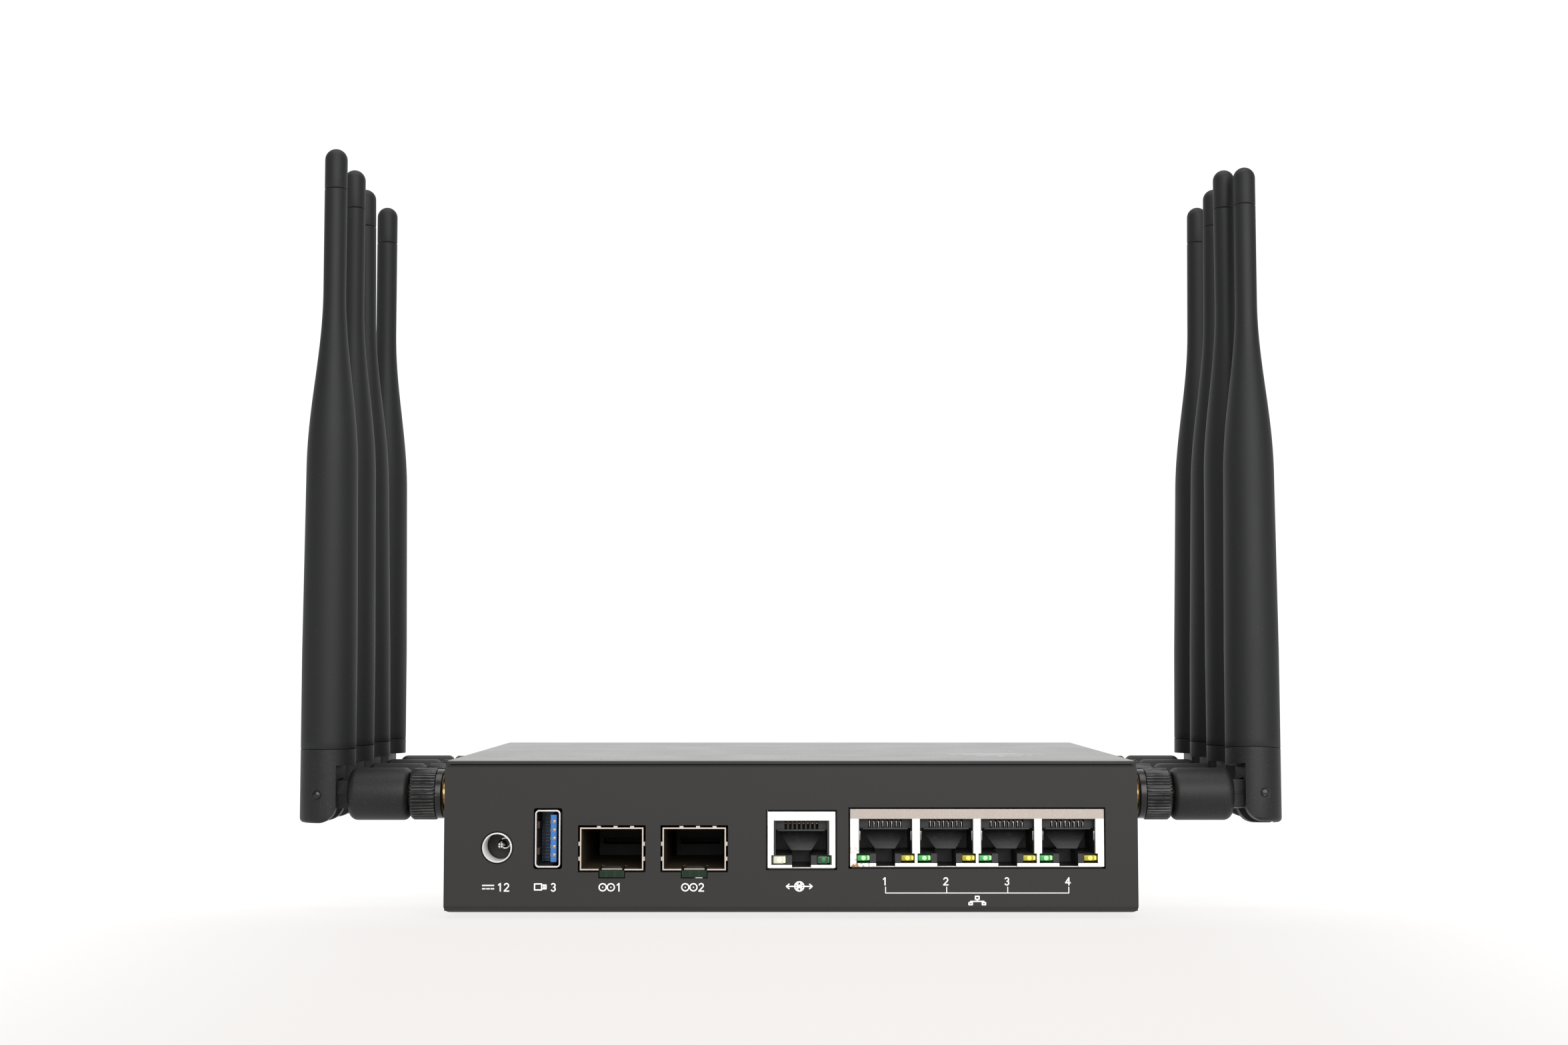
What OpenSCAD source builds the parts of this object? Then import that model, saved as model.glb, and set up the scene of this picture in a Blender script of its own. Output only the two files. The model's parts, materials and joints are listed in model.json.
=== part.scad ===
// Wireless router. A case folded from sheet metal holds a row of sockets in its front
// panel, and eight screw-on folding antennas stand along its two side walls.
// Millimetres. +X is right, +Y is back and +Z is up. The rubber feet stand on Z = 0, and
// X = 0, Y = 0 is the middle of the outline.

/* [Case] */
// Width across the side walls
case_w = 159; // [158:1:170]
// Depth from the front panel to the rear panel
case_d = 108; // [107:1:125]
// Height from the bottom plate to the top of the cover
case_h = 34.8; // [34.8:0.2:40]
// Thickness of the folded sheet
sheet = 1; // [0.9:0.1:1]
// Outer radius of the folds
fold_r = 1.5; // [1.4:0.1:1.8]
// Height of the rubber feet
foot_h = 1.5; // [1:0.5:4]

/* [Sockets] */
// Height of the circuit board's top face above the bottom plate
board_top = 9.6; // [9.4:0.1:9.8]
// Spacing of the four network ports in their gang
port_pitch = 13.97; // [13.97:0.01:14.1]
// Middle of the network gang, right of the case's centre line
gang_x = 42.6; // [42:0.1:43]
// Middle of the single network port
single_x = 2.4; // [2:0.1:3]
// Middle of the left fibre cage
cage_left_x = -41.05; // [-41.5:0.05:-41]
// Middle of the right fibre cage
cage_right_x = -22.15; // [-22.2:0.05:-21.5]
// Middle of the upright USB socket
usb_x = -55.7; // [-56:0.1:-55.5]
// Middle of the power socket
dc_x = -67.3; // [-67.5:0.1:-67]
// Height of the power socket's centre
dc_z = 14.8; // [14.6:0.1:15.2]
// How far the sockets stand out of the front panel
socket_proud = 0.5; // [0.3:0.1:0.8]

/* [Antennas] */
// Distance of the first antenna row behind the front panel
first_row = 19.5; // [19.5:0.1:20]
// Spacing of the antennas along each side wall
row_pitch = 22.7; // [22.5:0.1:24]
// Height of the antenna connectors above the bottom plate
jack_z = 25.9; // [25.5:0.1:26.2]
// Radius of the antenna tube at its base
tube_r = 6.5; // [6.5:0.1:6.8]
// Radius of the antenna tube below its tip
neck_r = 2.7; // [2.6:0.1:2.9]
// Height of the antenna's tip above the connector
tip_z = 155.7; // [150:0.1:160]
// Backward lean of the front right antenna, in degrees
front_lean = 6; // [0:1:6]
// Outward lean of the front right antenna, in degrees
front_splay = 1.2; // [0:0.1:1.5]
// Number of ribs around each coupling nut
ribs = 44; // [36:4:48]

/* [Hidden] */
$fn = 48;
ROWS = 4;
ANTENNAS = 2 * ROWS;
function numbered(name) = [for (i = [1:ANTENNAS]) str(name, i)];

// Clearances: between resting faces, and past the end of a cut
gap = 0.2;
cut = 1;

// The case frame has y = 0 on the front panel's outer face and z = 0 under the bottom plate
rear_proud = 1.5;
front_y = -(case_d + rear_proud - socket_proud) / 2;
wall_x = case_w / 2;
panel_h = case_h - sheet - gap;
tray_half = wall_x - sheet - gap;
flange_depth = 7;
flange_w = case_w - 4;
cover_base = 0.3;

// Screws through the cover into the ears of the chassis, flush with the side walls
screw_rows = [14, 94];
screw_z = 7;
screw_r = 1.45;
screw_head_r = 2.6;
ear_half = 6;
ear_h = 12;

// Cooling slots
slot_r = 1.1;
floor_slots = 11;
floor_slot_pitch = 6;
floor_slot_l = 20;
floor_slot_rows = [34, 74];
rear_slots = 8;
rear_slot_pitch = 4;
rear_slot_x = -18;
rear_slot_z = 13;
rear_slot_l = 10;

// Circuit board
board_t = 1.6;
board_half = 73;
board_front = 3.2;
board_back = 101;
post_at = [[-67, 94], [67, 94], [-67, 53.4], [67, 53.4], [-9, 9]];
post_r = 2.6;
post_screw_r = 1.2;
sink_x = 15;
sink_y = 62;

// Fibre cages
cage_w = 14.5;
cage_h = 9.7;
cage_z = 9.7;
cage_l = 48.8;
cage_wall = 0.3;
latch_w = 5.9;
latch_drop = 1.7;
latch_l = 9;

// USB socket
usb_w = 5.8;
usb_h = 13.1;
usb_z = 10.3;
usb_l = 14;
usb_wall = 0.35;
usb_corner = 0.9;

// Power socket
dc_sleeve_r = 3.4;
dc_bore_r = 3.1;
dc_pin_r = 1;
dc_pin_y = 6;
dc_depth = 9.5;

// Network ports: [middle, outer width, outer base, outer top, opening width, opening top,
// lower opening width, lower opening base, lower opening top]
port_l = 18;
port_wall = 0.3;
single_port = [single_x, 15.5, 10.2, 23, 12.7, 21, 13.8, 10.9, 13.1];
gang_port = [gang_x, 58.1, 10.5, 23.6, 12.2, 21.4, 13.3, 11.3, 13.5];
gang_ports = [for (i = [0:3]) gang_x + (i - 1.5) * port_pitch];
plug_w = 11.8;
plug_l = 15;
latch_slot_w = 4.3;
contacts = 8;
contact_pitch = 1.02;
contact_w = 0.45;

// Antenna connectors, measured outwards from the case's middle
jack_r = 3.175;
thread_pitch = 0.7;
thread_depth = 0.3;
jack_in = 70;
jack_out = 88;
cup_in = 84.6;
cup_r = 2.4;
nut_r = 6.1;
nut_in = 82.3;
nut_out = 90.3;
nut_lip = 1.8;
nut_bore_r = jack_r + 0.075;
collar_r = 2.55;
barrel_in = 90.6;
barrel_out = 104.9;
barrel_r = 6.2;

// Folding joint of the antenna
pin_x = 111.8;
pin_r = 1;
tab_half = 3.3;
tab_t = 6.4;
tube_x = 110.3;
base_flat_x = 107.3;
base_flat_top = 6.9;
base_drop = 6.6;
base_rise = 10.7;
base_edge_r = 1;
cap_z = tip_z - 9.7;

// Rear panel controls
power_x = -50;
power_z = 17;
power_r = 4;
reset_x = -32;
reset_z = 14;
reset_r = 1.2;
stem_r = 1.7;
switch_y = 97;
lamp_r = 1.2;
lamp_z = 14;
lamp_at = [for (i = [0:5]) 20 + 8 * i];

// Side of an antenna (-1 left, 1 right), its row from the front, and its backward lean at rest
function side(i) = i < ROWS ? -1 : 1;
function row_y(i) = first_row + row_pitch * (i % ROWS);
function lean(i) = i == ROWS ? front_lean : 0;

// Outward lean of each antenna on its pin: hinges never hold two sticks quite parallel
splay = [0, 0, 0.6, 0, front_splay, -0.2, 0.5, 0.5];

// Points of a quarter turn about [cx, cy] from angle a, as steps of an outline
function corner(cx, cy, r, a, steps = 5) =
    [for (k = [0:steps]) [cx + r * cos(a + 90 * k / steps), cy + r * sin(a + 90 * k / steps)]];

module in_case() {
    translate([0, front_y, foot_h]) children();
}

module block(low, high) {
    translate(low) cube(high - low);
}

// Extrudes an outline drawn in x and z along +Y, from y over a length
module standing(y, length) {
    translate([0, y + length, 0]) rotate([90, 0, 0]) linear_extrude(length) children();
}

// Extrudes an outline drawn in y and z along X, centred, over a width
module lying(width) {
    translate([-width / 2, 0, 0]) rotate([90, 0, 90]) linear_extrude(width) children();
}

// Spins an outline of [radius, distance along X] about the X axis
module turned_x() {
    rotate([0, 90, 0]) rotate_extrude() children();
}

module rod_y(x, z, from, to, r) {
    translate([x, from, z]) rotate([-90, 0, 0]) cylinder(r = r, h = to - from);
}

module rod_z(x, y, from, to, r) {
    translate([x, y, from]) cylinder(r = r, h = to - from);
}

module rounded(size, r) {
    square([size.x - 2 * r, size.y], center = true);
    square([size.x, size.y - 2 * r], center = true);
    for (x = [-1, 1], y = [-1, 1])
        translate([x * (size.x / 2 - r), y * (size.y / 2 - r)]) circle(r);
}

// Rectangle standing on its base line with its two upper corners rounded
module arch(w, h, r) {
    translate([-w / 2, 0]) square([w, h - r]);
    translate([r - w / 2, 0]) square([w - 2 * r, h]);
    for (x = [-1, 1]) translate([x * (w / 2 - r), h - r]) circle(r);
}

// Upright slot with round ends, as a cutter along Y or Z
module long_slot(length) {
    translate([-slot_r, -length / 2]) square([2 * slot_r, length]);
    for (y = [-1, 1]) translate([0, y * length / 2]) circle(slot_r);
}

// Places a right-hand antenna part on its jack: mirrored on the left, leaning where set
module at_antenna(i) {
    in_case() translate([0, row_y(i), jack_z]) rotate([-lean(i), 0, 0]) {
        if (side(i) > 0)
            children();
        else
            mirror([1, 0, 0]) children();
    }
}

// Leans the folding part of an antenna outwards about its hinge pin
module splayed(i) {
    translate([pin_x, 0, 0]) rotate([0, splay[i], 0]) translate([-pin_x, 0, 0]) children();
}

// Side outline of the chassis, from the front panel to the rear panel
module tray_side(inset) {
    translate([case_d / 2, 0]) mirror([0, 1]) translate([0, -panel_h])
        arch(case_d - 2 * inset, panel_h - inset, fold_r - inset);
}

module front_cutouts() {
    rod_y(dc_x, dc_z, -cut, sheet + cut, dc_sleeve_r + 0.35);
    standing(-cut, sheet + 2 * cut) translate([usb_x, usb_z + usb_h / 2])
        rounded([usb_w + 0.8, usb_h + 0.8], 0.6);
    for (x = [cage_left_x, cage_right_x]) {
        block([x - cage_w / 2 - 0.5, -cut, cage_z - 0.5], [x + cage_w / 2 + 0.5, sheet + cut,
            cage_z + cage_h + 0.5]);
        block([x - latch_w / 2 - 0.1, -cut, cage_z - latch_drop - 0.2], [x + latch_w / 2 + 0.1,
            sheet + cut, cage_z]);
    }
    for (p = [single_port, gang_port])
        block([p[0] - p[1] / 2 - 0.4, -cut, p[2] - 0.5], [p[0] + p[1] / 2 + 0.4, sheet + cut,
            p[3] + 0.4]);
}

module rear_cutouts() {
    rod_y(power_x, power_z, case_d - sheet - cut, case_d + cut, power_r + 0.3);
    rod_y(reset_x, reset_z, case_d - sheet - cut, case_d + cut, reset_r + 0.3);
    for (x = lamp_at) rod_y(x, lamp_z, case_d - sheet - cut, case_d + cut, lamp_r + 0.1);
    for (k = [0:rear_slots - 1])
        standing(case_d - sheet - cut, sheet + 2 * cut)
            translate([rear_slot_x + k * rear_slot_pitch, rear_slot_z + rear_slot_l / 2])
                long_slot(rear_slot_l);
}

module floor_cutouts() {
    for (y = floor_slot_rows, k = [0:floor_slots - 1])
        translate([(k - (floor_slots - 1) / 2) * floor_slot_pitch, y, -cut])
            linear_extrude(sheet + 2 * cut) long_slot(floor_slot_l);
    for (p = post_at) rod_z(p.x, p.y, -cut, sheet + cut, post_screw_r + 0.3);
}

module base_chassis() {
    color("#3b3b3d") in_case() difference() {
        union() {
            lying(2 * tray_half) difference() {
                tray_side(0);
                tray_side(sheet);
                translate([-cut, panel_h - sheet - cut]) square([case_d + 2 * cut, sheet + 2 * cut]);
            }
            for (y = [0, case_d - sheet]) intersection() {
                standing(y, sheet) translate([0, panel_h / 2]) rounded([case_w, panel_h], fold_r);
                lying(case_w) tray_side(0);
            }
            block([-flange_w / 2, sheet / 2, panel_h - sheet], [flange_w / 2, flange_depth, panel_h]);
            block([-flange_w / 2, case_d - flange_depth, panel_h - sheet], [flange_w / 2,
                case_d - sheet / 2, panel_h]);
            for (x = [-tray_half, tray_half - sheet], y = screw_rows)
                block([x, y - ear_half, sheet / 2], [x + sheet, y + ear_half, ear_h]);
        }
        front_cutouts();
        rear_cutouts();
        floor_cutouts();
        for (y = screw_rows) translate([0, y, screw_z]) rotate([0, 90, 0])
            cylinder(r = screw_r + 0.05, h = case_w, center = true);
    }
}

module top_cover() {
    color("#4a4a4d") in_case() difference() {
        union() {
            standing(sheet + gap, case_d - 2 * sheet - 2 * gap) difference() {
                arch(case_w, case_h, fold_r);
                arch(case_w - 2 * sheet, case_h - sheet, fold_r - sheet);
            }
            standing(0, case_d) difference() {
                arch(case_w, case_h, fold_r);
                translate([-case_w, -cut]) square([2 * case_w, case_h - sheet + cut]);
            }
        }
        block([-case_w, -cut, -cut], [case_w, case_d + cut, cover_base]);
        for (i = [0:ROWS - 1]) translate([0, row_y(i), jack_z]) rotate([0, 90, 0])
            cylinder(r = jack_r + 0.1, h = case_w + 2 * cut, center = true);
        for (y = screw_rows, turn = [0, 180]) translate([0, y, screw_z]) rotate([0, 90, turn]) {
            translate([0, 0, wall_x - sheet - cut]) cylinder(r = screw_r + 0.15, h = sheet + 2 * cut);
            translate([0, 0, wall_x - sheet])
                cylinder(r1 = screw_head_r - sheet, r2 = screw_head_r, h = sheet);
        }
    }
}

module rubber_feet() {
    foot_r = 5;
    color("#1c1c1c") for (x = [-68, 68], y = [20, case_d - 12])
        translate([x, front_y + y, 0]) rotate_extrude()
            polygon(concat([[0, foot_h], [0, 0]], corner(foot_r - 0.6, 0.6, 0.6, -90), [[foot_r, foot_h]]));
}

module cover_screws() {
    recess = 0.6;
    color("silver") in_case() for (y = screw_rows, turn = [0, 180])
        translate([0, y, screw_z]) rotate([0, 90, turn]) difference() {
            union() {
                translate([0, 0, wall_x - 5.5]) cylinder(r = screw_r, h = 5);
                translate([0, 0, wall_x - sheet])
                    cylinder(r1 = screw_head_r - sheet - 0.05, r2 = screw_head_r - 0.05, h = sheet);
            }
            for (a = [0, 90]) rotate([0, 0, a]) translate([0, 0, wall_x])
                cube([2.6, 0.6, 2 * recess], center = true);
        }
}

module main_board() {
    tab_half_w = latch_w / 2 - 0.1;
    color("#1f5134") in_case() difference() {
        union() {
            block([-board_half, board_front, board_top - board_t], [board_half, board_back, board_top]);
            for (x = [cage_left_x, cage_right_x])
                block([x - tab_half_w, 0.3, board_top - board_t], [x + tab_half_w, board_front + cut,
                    board_top]);
        }
        for (p = post_at) rod_z(p.x, p.y, board_top - board_t - cut, board_top + cut, post_screw_r + 0.3);
    }
}

module board_standoffs() {
    color("#b9a254") in_case() for (p = post_at) difference() {
        translate([p.x, p.y, sheet]) cylinder(r = post_r, h = board_top - board_t - sheet, $fn = 6);
        rod_z(p.x, p.y, 0, board_top, post_screw_r);
    }
}

module board_screws() {
    head_r = 2.4;
    color("silver") in_case() for (p = post_at) {
        difference() {
            union() {
                rod_z(p.x, p.y, board_top - 5, board_top, post_screw_r);
                rod_z(p.x, p.y, board_top, board_top + 1.4, head_r);
            }
            for (a = [0, 90]) translate([p.x, p.y, board_top + 1.4]) rotate([0, 0, a])
                cube([2.6, 0.6, 1.2], center = true);
        }
    }
}

// Black packages, inductors, capacitors and port transformers on the board. A package is
// [x, y, width, depth, height].
module board_components() {
    packages = [
        [sink_x, sink_y, 22, 22, 2],
        [40, 56, 10, 13, 1.2],
        [40, 70.5, 10, 13, 1.2],
        [-9, 78, 8, 6, 1.2],
        [40, 42, 14, 14, 1.4],
        [5, 38, 10, 8, 1.2],
        [-54.5, 28.5, 7, 7, 4],
        [-54.5, 36, 7, 4, 3],
    ];
    transformers = [for (x = concat([single_x], gang_ports)) [x, 26.5, 12, 8, 5.5]];
    color("#222224") in_case() {
        for (p = concat(packages, transformers))
            block([p[0] - p[2] / 2, p[1] - p[3] / 2, board_top],
                [p[0] + p[2] / 2, p[1] + p[3] / 2, board_top + p[4]]);
        for (y = [28, 34]) rod_z(-66, y, board_top, board_top + 9, 2.6);
    }
}

// Finned sink standing on the main processor
module heat_sink() {
    side_l = 38;
    base = board_top + 2;
    fins = 9;
    fin_pitch = (side_l - 1.2) / (fins - 1);
    color("#9a9da1") in_case() translate([sink_x - side_l / 2, sink_y - side_l / 2, base]) {
        cube([side_l, side_l, 2.5]);
        for (k = [0:fins - 1]) translate([k * fin_pitch, 0, 0]) cube([1.2, side_l, 12]);
    }
}

// Tin lids over the two radio sections
module radio_shields() {
    color("#b4b5b8") in_case() for (x = [-38, 47]) {
        block([x - 12, 78, board_top], [x + 12, 90, board_top + 3]);
        block([x - 11, 79, board_top + 3], [x + 11, 89, board_top + 3.3]);
    }
}

// Thin coaxial leads from the antenna jacks down to the board, with their plugs
module antenna_leads() {
    lead_r = 0.6;
    bend_r = 5;
    plug_x = jack_in - bend_r - 3;
    plug_top = board_top + 2.4;
    color("#303034") for (i = [0:ANTENNAS - 1])
        in_case() translate([0, row_y(i), 0]) mirror([side(i) < 0 ? 1 : 0, 0, 0]) {
            translate([plug_x + bend_r, 0, jack_z]) rotate([0, 90, 0]) cylinder(r = lead_r, h = 3);
            translate([plug_x + bend_r, 0, jack_z - bend_r]) rotate([90, 0, 0])
                rotate([0, 0, 90]) rotate_extrude(angle = 90) translate([bend_r, 0]) circle(lead_r);
            rod_z(plug_x, 0, plug_top, jack_z - bend_r, lead_r);
            rod_z(plug_x, 0, board_top, plug_top, 1.3);
        }
}

module dc_jack() {
    back = dc_depth + 4;
    color("#19191b") in_case() difference() {
        block([dc_x - 4.5, sheet + gap, board_top], [dc_x + 4.5, back, dc_z + 5.2]);
        rod_y(dc_x, dc_z, -cut, dc_depth, dc_sleeve_r);
        rod_y(dc_x, dc_z, dc_depth - cut, dc_depth + 2, dc_pin_r);
    }
}

// Bright lip and liner of the power socket, and its split pin
module dc_contacts() {
    color("#d9d9d6") in_case() {
        difference() {
            rod_y(dc_x, dc_z, -socket_proud, dc_depth, dc_sleeve_r);
            rod_y(dc_x, dc_z, -socket_proud - cut, dc_depth + cut, dc_bore_r);
        }
        difference() {
            rod_y(dc_x, dc_z, dc_pin_y, dc_depth + 2, dc_pin_r);
            for (a = [0, 90]) translate([dc_x, dc_pin_y, dc_z]) rotate([0, a, 0])
                cube([0.3, 4, 4], center = true);
        }
    }
}

module usb_shell() {
    color("#c9c9c7") in_case() {
        translate([usb_x, 0, usb_z + usb_h / 2]) {
            standing(-socket_proud, usb_l) difference() {
                rounded([usb_w, usb_h], usb_corner);
                rounded([usb_w - 2 * usb_wall, usb_h - 2 * usb_wall], usb_corner - usb_wall);
            }
            for (z = [-3, 3]) translate([-usb_w / 2 + usb_wall, 1.5, z - 0.8]) cube([0.5, 6, 1.6]);
        }
    }
}

// Blue tongue and back wall of the upright USB socket
module usb_tongue() {
    tongue_t = 1.4;
    inner_h = usb_h - 2 * usb_wall - 0.2;
    inner_w = usb_w - 2 * usb_wall - 0.2;
    color("#2d6fc4") in_case() translate([usb_x, 0, usb_z + usb_h / 2]) {
        translate([inner_w / 2 - tongue_t - 0.5, 0.6, -5.4]) cube([tongue_t, 9.4, 10.8]);
        translate([-inner_w / 2, 10, -inner_h / 2]) cube([inner_w, 3, inner_h]);
    }
}

// Thin-walled cage for a fibre module, with grounding fingers and a latch tongue in its floor
module fibre_cage(x) {
    finger = 0.35;
    color("#b9b6ac") in_case() translate([x, 0, cage_z]) {
        difference() {
            block([-cage_w / 2, -socket_proud, 0], [cage_w / 2, cage_l, cage_h]);
            block([-cage_w / 2 + cage_wall, -cut, cage_wall], [cage_w / 2 - cage_wall,
                cage_l - cage_wall, cage_h - cage_wall]);
            block([-latch_w / 2, -cut, -cut], [latch_w / 2, latch_l, 2 * cage_wall]);
        }
        for (fx = [-3.4, 0.4, 4.2]) block([fx, -0.3, cage_h], [fx + 0.9, 3.5, cage_h + finger]);
        for (sx = [-1, 1], fz = [2.6, 6]) translate([sx * (cage_w / 2 + finger / 2), 1.6, fz])
            cube([finger, 3.8, 0.9], center = true);
        block([0.6 - latch_w / 2, 0.8, 0], [latch_w / 2 - 0.6, latch_l + cut, cage_wall]);
    }
}

module fibre_cages() {
    for (x = [cage_left_x, cage_right_x]) fibre_cage(x);
}

// Edge connectors at the back of the fibre cages
module fibre_connectors() {
    color("#1d1c1a") in_case() for (x = [cage_left_x, cage_right_x]) difference() {
        block([x - 5.8, 36, cage_z + cage_wall], [x + 5.8, 45, cage_z + 7]);
        block([x - 4.8, 35, cage_z + 3], [x + 4.8, 42, cage_z + 4.4]);
    }
}

// Folded metal shell around one port or a gang, open in front for each port
module port_shield(p, middles) {
    color("#d4d3cf") in_case() difference() {
        block([p[0] - p[1] / 2, -socket_proud, p[2]], [p[0] + p[1] / 2, port_l, p[3]]);
        block([p[0] - p[1] / 2 + port_wall, port_wall - socket_proud, p[2] - cut],
            [p[0] + p[1] / 2 - port_wall, port_l + cut, p[3] - port_wall]);
        for (x = middles) {
            block([x - p[4] / 2, -cut, p[8] - gap], [x + p[4] / 2, cut, p[5]]);
            block([x - p[6] / 2, -cut, p[7]], [x + p[6] / 2, cut, p[8]]);
            block([x - latch_slot_w / 2, -cut, p[2] - cut], [x + latch_slot_w / 2, cut, p[8]]);
        }
    }
}

// Moulded insert of a port or a gang: plug cavity, latch slot, contact comb and light pockets
module port_housing(p, middles) {
    front = port_wall + 0.1 - socket_proud;
    comb = (contacts - 1) * contact_pitch;
    half = p[1] / 2 - port_wall - 0.05;
    top = p[3] - port_wall - 0.05;
    color("#1b1b1c") in_case() difference() {
        union() {
            block([p[0] - half, front, p[2] - 0.3], [p[0] + half, port_l - 0.2, top]);
            block([p[0] - half, board_front, board_top], [p[0] + half, port_l - 0.2, top]);
        }
        for (x = middles) {
            block([x - plug_w / 2, -cut, p[8]], [x + plug_w / 2, plug_l, p[5] - 2.3]);
            block([x - plug_w / 2, -cut, p[5] - 3], [x + plug_w / 2, 2, p[5] - 0.2]);
            block([x - latch_slot_w / 2, -cut, board_top + 0.9], [x + latch_slot_w / 2, plug_l - 3,
                p[8] + cut]);
            for (k = [0:contacts - 1]) translate([x - comb / 2 + k * contact_pitch, 0, 0])
                block([-0.3, 1, p[5] - 3], [0.3, 12, p[5] - 0.2]);
            for (s = [-1, 1]) block([x + s * 5.05 - 1.5, -cut, p[7] + 0.1],
                [x + s * 5.05 + 1.5, 3, p[8] - 0.1]);
        }
    }
}

module single_port_shield() {
    port_shield(single_port, [single_x]);
}

module single_port_housing() {
    port_housing(single_port, [single_x]);
}

module gang_shield() {
    port_shield(gang_port, gang_ports);
}

module gang_housing() {
    port_housing(gang_port, gang_ports);
}

// Sprung contact wires, eight in each port, sloping down towards the back
module port_contacts() {
    comb = (contacts - 1) * contact_pitch;
    color("#c9a44a") in_case() for (p = [single_port, gang_port])
        for (x = p[0] == single_x ? [single_x] : gang_ports, k = [0:contacts - 1])
            translate([x - comb / 2 + k * contact_pitch, 3.4, p[5] - 0.7]) rotate([-8, 0, 0])
                translate([-contact_w / 2, 0, -0.3]) cube([contact_w, 8, 0.3]);
}

// Clear light pipes in the lower corners of each port
module port_lights() {
    color("#8fd06a") in_case() for (p = [single_port, gang_port])
        for (x = p[0] == single_x ? [single_x] : gang_ports, s = [-1, 1]) {
            middle_z = (p[7] + p[8]) / 2;
            block([x + s * 5.05 - 1.35, 0.6, middle_z - 0.6], [x + s * 5.05 + 1.35, 3,
                middle_z + 0.6]);
            rod_y(x + s * 5.05, middle_z, 0.1, 0.6, 0.6);
        }
}

// Push button in the rear panel: cap, retaining flange and stem
module power_button() {
    inner_y = case_d - sheet;
    color("#2a2a2c") in_case() difference() {
        union() {
            rod_y(power_x, power_z, inner_y - 1, case_d + rear_proud, power_r);
            rod_y(power_x, power_z, inner_y - 1.3, inner_y - 0.3, power_r + 1);
            rod_y(power_x, power_z, switch_y - 1.5, inner_y - 1.2, stem_r);
        }
        translate([power_x, case_d + rear_proud + 14.6, power_z]) sphere(r = 15, $fn = 96);
    }
}

// Small plunger that sits back in its hole and is pressed with a pin
module reset_button() {
    inner_y = case_d - sheet;
    color("#2a2a2c") in_case() {
        rod_y(reset_x, reset_z, switch_y - 1.5, case_d - 0.4, reset_r);
        rod_y(reset_x, reset_z, inner_y - 1.3, inner_y - 0.3, reset_r + 0.8);
    }
}

// Switch bodies on the board, each with a bore for its button's stem
module button_switches() {
    color("#1d1d1f") in_case() for (b = [[power_x, power_z, stem_r], [reset_x, reset_z, reset_r]])
        difference() {
            block([b[0] - 3.5, switch_y - 6, board_top], [b[0] + 3.5, switch_y, b[1] + 3.5]);
            rod_y(b[0], b[1], switch_y - 4.5, switch_y + cut, b[2] + 0.1);
        }
}

// Clear light pipes from the board to the rear panel, on a common bar
module status_lamps() {
    color("#c9e6c4") in_case() {
        for (x = lamp_at) rod_y(x, lamp_z, board_back - 3, case_d + 0.2, lamp_r);
        block([lamp_at[0] - 2, board_back - 5, board_top], [lamp_at[5] + 2, board_back - 2.5,
            lamp_z + 2]);
    }
}

// Threaded jacks through the side walls, each with its hex body, lock washer and nut
module antenna_jacks() {
    turns = floor((jack_out - wall_x - 3) / thread_pitch);
    thread_start = jack_out - 0.4 - turns * thread_pitch;
    root_r = jack_r - thread_depth;
    thread = [for (k = [0:turns - 1], h = [0, 1])
        [h == 0 ? root_r : jack_r, thread_start + (k + h / 2) * thread_pitch]];
    color("#c9a24b") for (i = [0:ANTENNAS - 1])
        in_case() translate([0, row_y(i), jack_z]) mirror([side(i) < 0 ? 1 : 0, 0, 0]) {
            turned_x() polygon(concat(
                [[0, jack_in], [1.6, jack_in], [1.6, 74], [2.6, 74], [2.6, 76.5], [root_r, 76.5]],
                thread,
                [[root_r, jack_out - 0.4], [root_r, jack_out], [cup_r, jack_out], [cup_r, cup_in],
                    [0.45, cup_in], [0.45, jack_out - 0.6], [0, jack_out - 0.6]]
            ));
            for (h = [[wall_x - sheet - 1.8, 1.8], [wall_x + 0.4, 2]]) difference() {
                translate([h[0], 0, 0]) rotate([0, 90, 0]) cylinder(r = 4.6, h = h[1], $fn = 6);
                translate([h[0] - cut, 0, 0]) rotate([0, 90, 0])
                    cylinder(r = jack_r + 0.02, h = h[1] + 2 * cut);
            }
            translate([wall_x, 0, 0]) rotate([0, 90, 0]) difference() {
                cylinder(r = 4.4, h = 0.38);
                translate([0, 0, -cut]) cylinder(r = jack_r + 0.05, h = 3 * cut);
            }
        }
}

// Ribbed outline of the coupling nut: flat crests and flat roots
module ribbed_outline() {
    root_r = nut_r - 0.35;
    step = 360 / ribs;
    polygon([for (k = [0:ribs - 1], h = [-0.34, -0.16, 0.16, 0.34])
        let (r = abs(h) > 0.2 ? root_r : nut_r, a = step * (k + h)) [r * cos(a), r * sin(a)]]);
}

// Coupling nut: turns on the jack's thread and is held by the collar of the barrel's stem
module coupling_nut() {
    mouth_r = 4.4;
    color("#232325") difference() {
        union() {
            intersection() {
                translate([nut_in + nut_lip, 0, 0]) rotate([0, 90, 0])
                    linear_extrude(nut_out - nut_in - nut_lip) ribbed_outline();
                turned_x() polygon([[0, nut_in], [nut_r, nut_in], [nut_r, nut_out - 0.8],
                    [nut_r - 0.8, nut_out], [0, nut_out]]);
            }
            turned_x() polygon([[0, nut_in], [nut_r - 1, nut_in], [nut_r - 0.3, nut_in + 0.7],
                [nut_r - 0.3, nut_in + nut_lip], [0, nut_in + nut_lip]]);
        }
        turned_x() polygon([[0, nut_in - cut], [mouth_r + cut, nut_in - cut],
            [nut_bore_r, nut_in + mouth_r - nut_bore_r], [nut_bore_r, nut_out - 1],
            [collar_r + 0.1, nut_out - 1], [collar_r + 0.1, nut_out + cut], [0, nut_out + cut]]);
    }
}

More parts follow.
